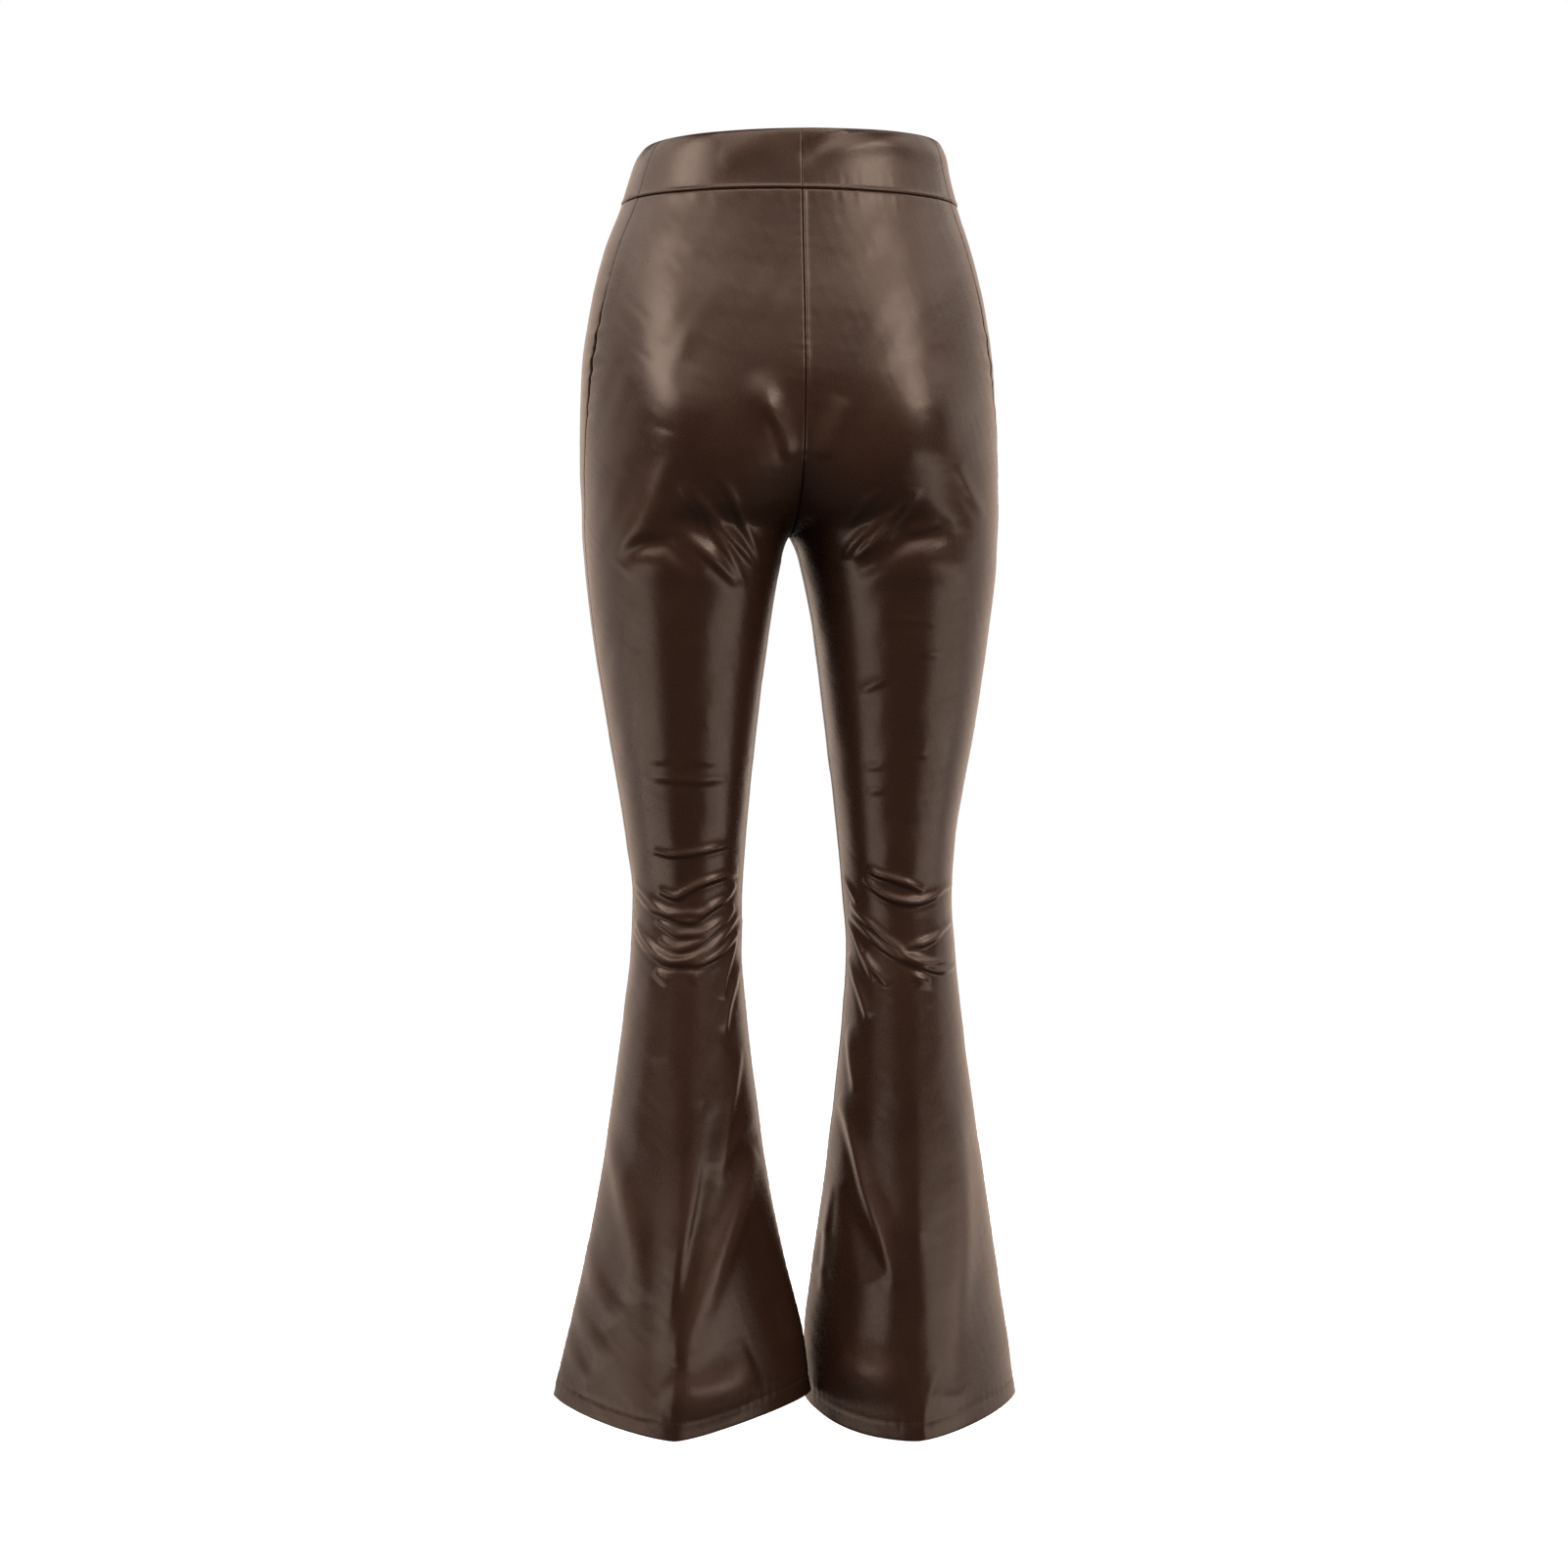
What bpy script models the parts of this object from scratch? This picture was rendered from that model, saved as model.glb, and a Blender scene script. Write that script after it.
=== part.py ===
"""Faux leather flared trousers with a high pull-on waistband, hollow as worn.

Units are metres and +Z is up. The waist's top edge lies at Z = 0, the back of the
trousers faces +Y, and the wearer's left leg is at +X. Every cut piece is one closed
wall of cloth. A place on the cloth is an angle round the leg and a drop below the
waist: the angle is 0 at the widest point of the side, positive on the back,
negative on the front, and half a turn at the inseam.
"""

import bmesh
import bpy
import numpy as np

MM = 0.001

# The cloth.
SEAM_GAP = 0.3 * MM
CLOTH = 1.6 * MM
HEM_CLOTH = 2.6 * MM
HEM_DEPTH = 15 * MM
POCKET_CLOTH = 1.0 * MM
POCKET_CLEAR = 0.9 * MM

# The waistband stands a little proud of the legs, with a soft ridge along its lower
# edge, a rounded top edge and its top leaning down towards the left.
BAND_CLOTH = 3.0 * MM
BAND_DEPTH = 48 * MM
BAND_PROUD = 0.5 * MM
BAND_RIDGE = 0.7 * MM
RIDGE_FROM = 38 * MM
RIDGE_FULL = 45 * MM
TOP_ROUND = 0.9 * MM
TOP_ROUND_DEPTH = 2.0 * MM
BAND_LEAN = 3.2 * MM
HALF_WAIST = 130 * MM

# The levels, as drops below the waist.
CROTCH = 311.6 * MM
KNEE = 620 * MM
HEM = 995 * MM
CLEAR_OF_CENTRE_TO = 370 * MM

# The outline seen from behind, in millimetres: the outer and the inner edge of each
# leg, both measured outwards from the centre line. Above the crotch the inner edge
# passes the centre line, where the cloth is cut off by the centre seam.
OUTLINE = (
    # drop, left outer, left inner, right outer, right inner
    (0, 116, -116, 120, -120),
    (12, 123.5, -123.5, 125.3, -125.3),
    (24, 127.5, -127.5, 127.5, -127.5),
    (48, 134.5, -134.5, 134, -134),
    (86, 149, -149, 146, -146),
    (133, 160, -160, 157, -157),
    (180, 166.5, -166.5, 163, -163),
    (228, 168, -132, 165.5, -130),
    (259, 168, -86, 166.5, -85),
    (290, 166.5, -33, 166.5, -33),
    (311.6, 166, 0, 166, 0),
    (337, 164, 8.5, 165, 9.5),
    (385, 158.5, 16.5, 160, 19),
    (463, 146, 26.5, 149, 29),
    (557, 130.5, 35.5, 133.5, 40),
    (600, 125.5, 38, 131, 43.5),
    (640, 127, 38.5, 133.5, 46.5),
    (699, 133.5, 34, 140, 43),
    (761, 142, 26.5, 149, 36.5),
    (824, 151.5, 17.5, 159.5, 29),
    (887, 164, 4.5, 169.5, 20),
    (950, 179, -11, 179.5, 13),
    (995, 190, -17, 186, 13.5),
)

# The form seen from the side, in millimetres: the back, the front, the widest line of
# the side and the side seam. Roundness is 2 for an ellipse and 1 for a rhombus.
PROFILE = (
    # drop, back, front, widest line, side seam, roundness
    (0, 92, -92, 0, 40, 2.1),
    (48, 97, -98, 0, 40, 2.1),
    (100, 106, -103, 0, 40, 2.1),
    (150, 116, -106, 0, 38, 2.1),
    (200, 122, -106, 0, 34, 2.15),
    (250, 120, -104, 0, 28, 2.2),
    (290, 110, -101, 0, 22, 2.2),
    (311.6, 103, -99, 0, 19, 2.2),
    (345, 95, -96, -1, 15, 2.15),
    (400, 84, -92, -3, 10, 2.1),
    (480, 70, -84, -5, 5, 2.1),
    (557, 56, -73, -7, 0, 2.05),
    (620, 50, -66, -7, -4, 2.0),
    (690, 56, -68, -6, -4, 1.85),
    (761, 66, -72, -5, -4, 1.7),
    (850, 78, -79, -3, -2, 1.5),
    (930, 85, -84, -1, -1, 1.38),
    (995, 88, -88, 0, 0, 1.32),
)

# How each leg's flare is set at its hem: towards the back, deeper from front to back,
# lower, its back crease out to the side, and its inner back rounder and lower.
SIDE = {"left": 1, "right": -1}
SET_BACK = {"left": 3 * MM, "right": -19 * MM}
DEEPER = {"left": 0 * MM, "right": 10 * MM}
LOWER = {"left": 0 * MM, "right": 12 * MM}
HEM_SLOPE = {"left": 0.27, "right": 0.216}
CREASE_OUT = {"left": 12 * MM, "right": -3 * MM}
INNER_ROUND = {"left": -0.1, "right": 0.25}
INNER_SAG = {"left": 0 * MM, "right": 4 * MM}

# The pocket mouth in each side seam.
MOUTH_TOP = 112 * MM
MOUTH_END = 246 * MM
MOUTH_GAPE = 3.5 * MM
POCKET_TOP = 96 * MM
POCKET_END = 292 * MM
POCKET_REACH = 0.62  # forwards from the side seam, in radians
POCKET_TUCK = 0.10  # backwards from the side seam, in radians
POCKET_TAPER = 0.55
POCKET_STRAIGHT = 0.4
POCKET_ROWS = 9
POCKET_COLUMNS = 6

# The fullness of the seat and the largest folds, in millimetres. Each runs from its
# start through its middle to its end, as a place across and a drop.
FULLNESS = (
    # face, across, drop, across, drop, across, drop, half width, height
    ("back", 96, 40, 98, 175, 84, 320, 48, 6.0),
    ("back", -84, 40, -86, 180, -76, 322, 48, 6.0),
)
FOLDS = (
    # face, across, drop, across, drop, across, drop, half width, height
    ("back", 47, 187, 29, 219, 13, 233, 9, 2.5),
    ("back", -26, 214, -14, 250, -32, 284, 9, 2.5),
    ("back", 19, 249, 29, 271, 47, 290, 9, 2.5),
    ("back", 86, 283, 69, 319, 51, 354, 7, 3.0),
    ("back", 65, 274, 48, 309, 29, 343, 7, 3.0),
    ("back", 101, 240, 115, 289, 138, 339, 10, -3.0),
    ("back", -75, 295, -59, 315, -43, 336, 7, 4.0),
    ("back", -86, 289, -66, 313, -48, 338, 7, 3.0),
    ("back", -102, 312, -73, 328, -48, 341, 7, 3.0),
    ("back", 108, 598, 87, 597, 54, 584, 7, 2.5),
    ("back", 123, 594, 87, 615, 48, 596, 7, 3.0),
    ("back", 108, 629, 87, 640, 42, 612, 7, 3.5),
    ("back", 124, 626, 89, 649, 45, 628, 7, 3.0),
    ("back", -56, 587, -87, 605, -125, 594, 7, 3.0),
    ("back", -44, 600, -70, 632, -104, 652, 8, 4.0),
    ("back", -89, 639, -110, 632, -127, 624, 7, 2.0),
    ("back", -47, 624, -53, 660, -62, 690, 7, 2.5),
    ("back", 140, 798, 125, 838, 114, 867, 11, 3.0),
    ("back", 98, 792, 97, 868, 97, 943, 14, -3.0),
    ("back", 71, 808, 86, 881, 95, 954, 10, 2.5),
    ("back", 32, 797, 52, 881, 85, 950, 12, 4.0),
    ("back", 165, 901, 151, 911, 137, 923, 9, 2.5),
    ("back", -39, 757, -59, 818, -84, 908, 11, 3.0),
    ("back", -115, 818, -120, 884, -123, 960, 14, 3.0),
    ("front", 20, 296, 60, 326, 104, 340, 11, 2.5),
    ("front", -18, 292, -58, 322, -100, 338, 11, 2.5),
    ("front", 108, 570, 86, 580, 60, 568, 10, 2.5),
    ("front", -62, 572, -88, 584, -114, 566, 10, 2.5),
    ("front", 90, 700, 98, 810, 104, 940, 14, 3.0),
    ("front", -92, 710, -104, 820, -112, 945, 14, 3.0),
)
FOLD_STEPS = 14
FOLD_TAPER = 0.7
FULLNESS_TAPER = 2.0

# The wall's grid: the number of rows down to each level, and of columns round a panel.
ROWS_TO = (
    # down to this drop, rows
    (100, 3),
    (225, 6),
    (311.6, 8),
    (350, 4),
    (555, 8),
    (680, 14),
    (980, 12),
    (995, 2),
)
CROTCH_ROWS = 9
CROTCH_EASE = 1.8
COLUMNS = 12
FRONT_BAND_COLUMNS = 14
BAND_ROWS = (0, 2, 14, 36, 44)
SHARP = np.radians(50)

LEATHER = (0.030, 0.013, 0.008, 1.0)
LINING = (0.022, 0.012, 0.009, 1.0)


def smooth_step(low, high, value):
    """0 below low, 1 above high, and a smooth rise between them."""
    t = np.clip((value - low) / (high - low), 0.0, 1.0)
    return t * t * (3.0 - 2.0 * t)


def slopes(x, y):
    """The slope at each row of a table column that gives a curve with no overshoot."""
    steps = np.diff(y) / np.diff(x)
    inner = np.where(steps[:-1] * steps[1:] > 0.0, 2.0 * steps[:-1] * steps[1:], 0.0)
    total = steps[:-1] + steps[1:]
    inner = inner / np.where(np.abs(total) > 1e-12, total, 1.0)
    return np.concatenate(([steps[0]], inner, [steps[-1]]))


def read_column(table, column, drop):
    """A table's column at any drop, as a smooth curve through its rows, in metres."""
    rows = np.array(table, float)
    x, y = rows[:, 0] * MM, rows[:, column]
    m = slopes(x, y)
    drop = np.clip(drop, x[0], x[-1])
    k = np.clip(np.searchsorted(x, drop) - 1, 0, len(x) - 2)
    width = x[k + 1] - x[k]
    t = (drop - x[k]) / width
    rise = (y[k + 1] - y[k]) * t * t * (3.0 - 2.0 * t)
    bend = width * (m[k] * t * (1.0 - t) ** 2 - m[k + 1] * t * t * (1.0 - t))
    return y[k] + rise + bend


def outline(leg, drop):
    """The outer and inner edge of a leg, seen from behind."""
    first = 1 if leg == "left" else 3
    return read_column(OUTLINE, first, drop) * MM, read_column(OUTLINE, first + 1, drop) * MM


def flare(drop):
    """How far the flare has opened: 0 at the knee and 1 at the hem."""
    return smooth_step(KNEE, HEM, drop)


def profile(leg, drop):
    """The back, front and widest line of a leg, and the power of its section's curve."""
    back, front, widest = (read_column(PROFILE, n, drop) * MM for n in (1, 2, 3))
    shift = SET_BACK[leg] * flare(drop)
    deeper = DEEPER[leg] * flare(drop)
    power = 2.0 / read_column(PROFILE, 5, drop)
    return back + shift + deeper, front + shift - deeper, widest + shift, power


def inner_back(angle):
    """1 in the middle of the inner back quarter of a leg, and 0 outside it."""
    return np.where(np.cos(angle) < 0.0, np.maximum(-np.sin(2.0 * angle), 0.0), 0.0)


def signed_power(value, power):
    return np.sign(value) * np.abs(value) ** power


def bare_cloth(leg, angle, drop):
    """Points on the outside of the trousers with no folds."""
    angle, drop = np.broadcast_arrays(angle, drop)
    outer, inner = outline(leg, drop)
    back, front, widest, power = profile(leg, drop)
    cosine, sine = np.cos(angle), np.sin(angle)
    depth = np.where(sine > 0.0, back - widest, widest - front)
    quarter = flare(drop) * inner_back(angle)
    power = 2.0 / (2.0 / power + INNER_ROUND[leg] * quarter)
    across = (outer + inner) / 2.0 + (outer - inner) / 2.0 * signed_power(cosine, power)
    across = across + CREASE_OUT[leg] * flare(drop) * np.maximum(sine, 0.0) ** 2
    y = widest + depth * signed_power(sine, power)
    z = -drop - flare(drop) * (LOWER[leg] + HEM_SLOPE[leg] * y) - INNER_SAG[leg] * quarter
    return np.stack((SIDE[leg] * across, y, z), axis=-1)


def outward(leg, angle, drop):
    """The direction out of the cloth at each point."""
    turn, step = 0.03, 1.5 * MM
    round_it = bare_cloth(leg, angle + turn, drop) - bare_cloth(leg, angle - turn, drop)
    down_it = bare_cloth(leg, angle, drop + step) - bare_cloth(leg, angle, drop - step)
    normal = np.cross(down_it, round_it) * SIDE[leg]
    return normal / np.linalg.norm(normal, axis=-1, keepdims=True)


def centre_angle(leg, drop):
    """The angle of the centre seam, or of the inseam below the crotch."""
    outer, inner = outline(leg, drop)
    power = profile(leg, drop)[3]
    ratio = np.clip((outer + inner) / (outer - inner), 0.0, 1.0)
    angle = np.pi - np.arccos(np.clip(ratio ** (1.0 / power), 0.0, 1.0))
    return np.where(drop >= CROTCH, np.pi, angle)


def angle_at_depth(leg, y, drop):
    """The angle of the point of the outer half of a section that lies at y."""
    back, front, widest, power = profile(leg, drop)
    depth = np.where(y > widest, back - widest, widest - front)
    ratio = np.clip(np.abs(y - widest) / depth, 0.0, 1.0)
    return np.sign(y - widest) * np.arcsin(ratio ** (1.0 / power))


def side_seam(leg, drop):
    """How far back the side seam lies."""
    return read_column(PROFILE, 4, drop) * MM + SET_BACK[leg] * flare(drop)


def mouth(drop):
    """Half of the gap at the side seam, wider in the pocket's mouth."""
    t = np.clip((drop - MOUTH_TOP) / (MOUTH_END - MOUTH_TOP), 0.0, 1.0)
    return SEAM_GAP / 2.0 + MOUTH_GAPE / 2.0 * np.sin(np.pi * t) ** 2


def fold_line(face, start, middle, end):
    """Points along a fold on the bare cloth, given three places as across and drop."""
    t = np.linspace(0.0, 1.0, FOLD_STEPS)[:, None]
    start, middle, end = (np.array(p, float) * MM for p in (start, middle, end))
    bend = 2.0 * middle - (start + end) / 2.0
    places = start * (1.0 - t) ** 2 + 2.0 * bend * t * (1.0 - t) + end * t * t
    leg = "left" if middle[0] > 0.0 else "right"
    drop = places[:, 1]
    outer, inner = outline(leg, drop)
    power = profile(leg, drop)[3]
    across = SIDE[leg] * places[:, 0]
    ratio = np.clip((2.0 * across - outer - inner) / (outer - inner), -1.0, 1.0)
    angle = np.arccos(signed_power(ratio, 1.0 / power))
    return bare_cloth(leg, angle if face == "back" else -angle, drop)


def fold_height(points, line, half_width, height, taper):
    """How far a fold lifts each point: most on its line, nothing at its two ends."""
    nearest = np.full(points.shape[:-1], 1e9)
    along = np.zeros(points.shape[:-1])
    for n in range(len(line) - 1):
        run = line[n + 1] - line[n]
        t = np.clip((points - line[n]) @ run / (run @ run), 0.0, 1.0)
        distance = np.linalg.norm(points - line[n] - t[..., None] * run, axis=-1)
        along = np.where(distance < nearest, (n + t) / (len(line) - 1), along)
        nearest = np.minimum(nearest, distance)
    return height * np.sin(np.pi * along) ** taper * np.exp(-((nearest / half_width) ** 2))


def folded(points):
    """The sum of all the folds at each point."""
    lift = np.zeros(points.shape[:-1])
    for table, taper in ((FULLNESS, FULLNESS_TAPER), (FOLDS, FOLD_TAPER)):
        for face, x1, d1, x2, d2, x3, d3, half_width, height in table:
            line = fold_line(face, (x1, d1), (x2, d2), (x3, d3))
            lift += fold_height(points, line, half_width * MM, height * MM, taper)
    return lift


def layer(leg, angle, true_angle, drop, out):
    """A layer of cloth that lies out from the outside, with the folds in it."""
    points = bare_cloth(leg, angle, drop)
    normal = outward(leg, true_angle, drop)
    return points + (folded(points) + out)[..., None] * normal


def row_drops():
    """The drop of each row at the centre seam or inseam, and at the side seam."""
    side = [BAND_DEPTH + SEAM_GAP / 2.0]
    for level, count in ROWS_TO:
        side.extend(np.linspace(side[-1], level * MM, count + 1)[1:])
    side = np.array(side)
    centre = side.copy()
    crotch_row = int(np.argmin(np.abs(side - CROTCH)))
    first = crotch_row - CROTCH_ROWS
    t = np.linspace(0.0, 1.0, CROTCH_ROWS + 1)
    centre[first : crotch_row + 1] = CROTCH - (CROTCH - side[first]) * (1.0 - t) ** CROTCH_EASE
    return centre, side


def panel(name, leg, face):
    """One cut piece of a leg, from the waistband to the hem."""
    centre, side = row_drops()
    u = np.linspace(0.0, 1.0, COLUMNS + 1)[None, :]
    drop = centre[:, None] + (side - centre)[:, None] * smooth_step(0.0, 1.0, u)
    sign = 1.0 if face == "back" else -1.0
    inseam = sign * centre_angle(leg, drop)
    seam_y = side_seam(leg, drop)
    seam = angle_at_depth(leg, seam_y, drop)
    true_angle = inseam + (seam - inseam) * u
    angle = true_angle.copy()
    trimmed = angle_at_depth(leg, seam_y + sign * mouth(drop), drop)
    angle[:, -1] = trimmed[:, -1]
    widest = profile(leg, drop)[2]
    cut = angle_at_depth(leg, widest + sign * SEAM_GAP / 2.0, drop)
    below = centre >= CROTCH
    angle[below, 0] = (sign * np.pi - cut[:, 0])[below]
    in_hem = drop >= HEM - HEM_DEPTH
    thick = np.where(in_hem, HEM_CLOTH, CLOTH)
    out = layer(leg, angle, true_angle, drop, np.zeros(drop.shape))
    inside = layer(leg, angle, true_angle, drop, -thick)
    for points in (out, inside):
        across = SIDE[leg] * points[..., 0]
        clear = np.maximum(across, SEAM_GAP / 2.0)
        points[..., 0] = SIDE[leg] * np.where(drop < CLEAR_OF_CENTRE_TO, clear, across)
    return wall(name, out, inside, LEATHER)


def band_layers(leg, angle, true_angle, drop):
    """The outside and the inside of the waistband, with its soft lower ridge."""
    proud = BAND_PROUD + BAND_RIDGE * smooth_step(RIDGE_FROM, RIDGE_FULL, drop)
    rounded = TOP_ROUND * (1.0 - smooth_step(0.0, TOP_ROUND_DEPTH, drop))
    out = layer(leg, angle, true_angle, drop, proud - rounded)
    inside = layer(leg, angle, true_angle, drop, BAND_PROUD - BAND_CLOTH + rounded)
    lean = BAND_LEAN * (1.0 - drop / BAND_DEPTH)
    for points in (out, inside):
        points[..., 2] -= lean * points[..., 0] / HALF_WAIST
    return out, inside


def band_piece(leg, face, columns):
    """The layers of the waistband from the centre to the side seam of one leg."""
    drop = np.array([n * MM for n in BAND_ROWS] + [BAND_DEPTH - SEAM_GAP / 2.0])[:, None]
    u = np.linspace(0.0, 1.0, columns + 1)[None, :]
    sign = 1.0 if face == "back" else -1.0
    seam_y = side_seam(leg, drop)
    centre = sign * centre_angle(leg, drop)
    seam = angle_at_depth(leg, seam_y, drop)
    true_angle = centre + (seam - centre) * u
    drop = drop + 0.0 * u
    angle = true_angle.copy()
    angle[:, -1] = angle_at_depth(leg, seam_y + sign * SEAM_GAP / 2.0, drop[:, :1])[:, 0]
    return band_layers(leg, angle, true_angle, drop)


def back_band(name, leg):
    out, inside = band_piece(leg, "back", COLUMNS)
    for points in (out, inside):
        points[:, 0, 0] = SIDE[leg] * SEAM_GAP / 2.0
    wall(name, out, inside, LEATHER)


def front_band(name):
    left = band_piece("left", "front", FRONT_BAND_COLUMNS)
    right = band_piece("right", "front", FRONT_BAND_COLUMNS)
    joined = [np.concatenate((a[:, ::-1], b[:, 1:]), axis=1) for a, b in zip(left, right)]
    wall(name, joined[0], joined[1], LEATHER)


def pocket(name, leg):
    """The pocket's cloth, which lies inside the front and shows in the mouth."""
    down = np.linspace(0.0, 1.0, POCKET_ROWS + 1)[:, None]
    drop = POCKET_TOP + (POCKET_END - POCKET_TOP) * down
    u = np.linspace(0.0, 1.0, POCKET_COLUMNS + 1)[None, :]
    seam = angle_at_depth(leg, side_seam(leg, drop), drop)
    curve = np.maximum(down - POCKET_STRAIGHT, 0.0) / (1.0 - POCKET_STRAIGHT)
    reach = POCKET_REACH * (1.0 - POCKET_TAPER * curve**2)
    angle = seam + POCKET_TUCK - (POCKET_TUCK + reach) * u
    drop = drop + 0.0 * u
    top = CLOTH + POCKET_CLEAR
    out = layer(leg, angle, angle, drop, np.full(drop.shape, -top))
    inside = layer(leg, angle, angle, drop, np.full(drop.shape, -top - POCKET_CLOTH))
    wall(name, out, inside, LINING)


def wall(name, out, inside, colour):
    """A closed wall of cloth between its outside and its inside layer."""
    rows, columns = out.shape[:2]
    work = bmesh.new()
    grids = []
    for points in (out, inside):
        grids.append([[work.verts.new(p) for p in row] for row in points])
    for grid in grids:
        for r in range(rows - 1):
            for c in range(columns - 1):
                corners = (grid[r][c], grid[r][c + 1], grid[r + 1][c + 1], grid[r + 1][c])
                work.faces.new(corners if grid is grids[0] else corners[::-1])
    rim = [(0, c) for c in range(columns)] + [(r, columns - 1) for r in range(1, rows)]
    rim += [(rows - 1, c) for c in range(columns - 2, -1, -1)]
    rim += [(r, 0) for r in range(rows - 2, -1, -1)]
    for (r1, c1), (r2, c2) in zip(rim, rim[1:]):
        edge_out = (grids[0][r2][c2], grids[0][r1][c1])
        work.faces.new((*edge_out, grids[1][r1][c1], grids[1][r2][c2]))
    bmesh.ops.recalc_face_normals(work, faces=work.faces)
    mesh = bpy.data.meshes.new(name)
    work.to_mesh(mesh)
    work.free()
    mesh.shade_smooth()
    mesh.set_sharp_from_angle(angle=SHARP)
    mesh.materials.append(leather(name, colour))
    piece = bpy.data.objects.new(name, mesh)
    bpy.context.scene.collection.objects.link(piece)
    return piece


def leather(name, colour):
    material = bpy.data.materials.new(name)
    material.use_nodes = True
    shader = material.node_tree.nodes["Principled BSDF"]
    shader.inputs["Base Color"].default_value = colour
    shader.inputs["Roughness"].default_value = 0.3
    shader.inputs["Metallic"].default_value = 0.0
    return material


def main():
    for old in list(bpy.data.objects):
        bpy.data.objects.remove(old, do_unlink=True)
    for leg in ("left", "right"):
        panel(f"back_{leg}", leg, "back")
        panel(f"front_{leg}", leg, "front")
        back_band(f"waistband_back_{leg}", leg)
        pocket(f"pocket_{leg}", leg)
    front_band("waistband_front")


main()
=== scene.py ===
"""Looks of the faux leather flared trousers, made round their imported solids.

Units are metres and +Z is up. The waist's top edge lies at Z = 0, the back of the
trousers faces +Y, and the wearer's left leg is at +X. A place on the cloth is an angle
round the leg and a drop below the waist: the angle is 0 at the widest point of the
side, positive on the back, negative on the front, and half a turn at the inseam.
"""

import bmesh
import bpy
import numpy as np
from mathutils import Matrix, Vector


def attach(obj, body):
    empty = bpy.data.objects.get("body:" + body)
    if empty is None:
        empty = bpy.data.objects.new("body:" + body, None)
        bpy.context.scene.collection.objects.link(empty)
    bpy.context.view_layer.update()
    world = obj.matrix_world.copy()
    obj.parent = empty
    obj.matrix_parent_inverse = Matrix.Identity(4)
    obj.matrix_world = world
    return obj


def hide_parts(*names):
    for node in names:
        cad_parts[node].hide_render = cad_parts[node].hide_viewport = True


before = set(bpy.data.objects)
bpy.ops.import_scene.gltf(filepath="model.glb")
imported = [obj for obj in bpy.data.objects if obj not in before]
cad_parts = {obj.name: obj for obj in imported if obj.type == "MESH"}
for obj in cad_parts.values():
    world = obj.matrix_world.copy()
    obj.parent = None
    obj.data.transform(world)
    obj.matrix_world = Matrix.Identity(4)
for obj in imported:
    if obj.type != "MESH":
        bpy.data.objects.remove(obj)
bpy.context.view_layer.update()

MM = 0.001

# ---------------------------------------------------------------- the form of the cloth

BAND_DEPTH = 48 * MM
BAND_LEAN = 3.2 * MM
HALF_WAIST = 130 * MM
CROTCH = 311.6 * MM
KNEE = 620 * MM
HEM = 995 * MM
CLEAR_OF_CENTRE_TO = 370 * MM

# The outline seen from behind, in millimetres: the outer and the inner edge of each
# leg, both measured outwards from the centre line.
OUTLINE = (
    # drop, left outer, left inner, right outer, right inner
    (0, 116, -116, 120, -120),
    (12, 123.5, -123.5, 125.3, -125.3),
    (24, 127.5, -127.5, 127.5, -127.5),
    (48, 134.5, -134.5, 134, -134),
    (86, 149, -149, 146, -146),
    (133, 160, -160, 157, -157),
    (180, 166.5, -166.5, 163, -163),
    (228, 168, -132, 165.5, -130),
    (259, 168, -86, 166.5, -85),
    (290, 166.5, -33, 166.5, -33),
    (311.6, 166, 0, 166, 0),
    (337, 164, 8.5, 165, 9.5),
    (385, 158.5, 16.5, 160, 19),
    (463, 146, 26.5, 149, 29),
    (557, 130.5, 35.5, 133.5, 40),
    (600, 125.5, 38, 131, 43.5),
    (640, 127, 38.5, 133.5, 46.5),
    (699, 133.5, 34, 140, 43),
    (761, 142, 26.5, 149, 36.5),
    (824, 151.5, 17.5, 159.5, 29),
    (887, 164, 4.5, 169.5, 20),
    (950, 179, -11, 179.5, 13),
    (995, 190, -17, 186, 13.5),
)

# The form seen from the side, in millimetres: the back, the front, the widest line of
# the side and the side seam. Roundness is 2 for an ellipse and 1 for a rhombus.
PROFILE = (
    # drop, back, front, widest line, side seam, roundness
    (0, 92, -92, 0, 40, 2.1),
    (48, 97, -98, 0, 40, 2.1),
    (100, 106, -103, 0, 40, 2.1),
    (150, 116, -106, 0, 38, 2.1),
    (200, 122, -106, 0, 34, 2.15),
    (250, 120, -104, 0, 28, 2.2),
    (290, 110, -101, 0, 22, 2.2),
    (311.6, 103, -99, 0, 19, 2.2),
    (345, 95, -96, -1, 15, 2.15),
    (400, 84, -92, -3, 10, 2.1),
    (480, 70, -84, -5, 5, 2.1),
    (557, 56, -73, -7, 0, 2.05),
    (620, 50, -66, -7, -4, 2.0),
    (690, 56, -68, -6, -4, 1.85),
    (761, 66, -72, -5, -4, 1.7),
    (850, 78, -79, -3, -2, 1.5),
    (930, 85, -84, -1, -1, 1.38),
    (995, 88, -88, 0, 0, 1.32),
)

# How each leg's flare is set at its hem: towards the back, deeper from front to back,
# lower, its back crease out to the side, and its inner back rounder and lower.
SIDE = {"left": 1, "right": -1}
SET_BACK = {"left": 3 * MM, "right": -19 * MM}
DEEPER = {"left": 0 * MM, "right": 10 * MM}
LOWER = {"left": 0 * MM, "right": 12 * MM}
HEM_SLOPE = {"left": 0.27, "right": 0.216}
CREASE_OUT = {"left": 12 * MM, "right": -3 * MM}
INNER_ROUND = {"left": -0.1, "right": 0.25}
INNER_SAG = {"left": 0 * MM, "right": 4 * MM}

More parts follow.
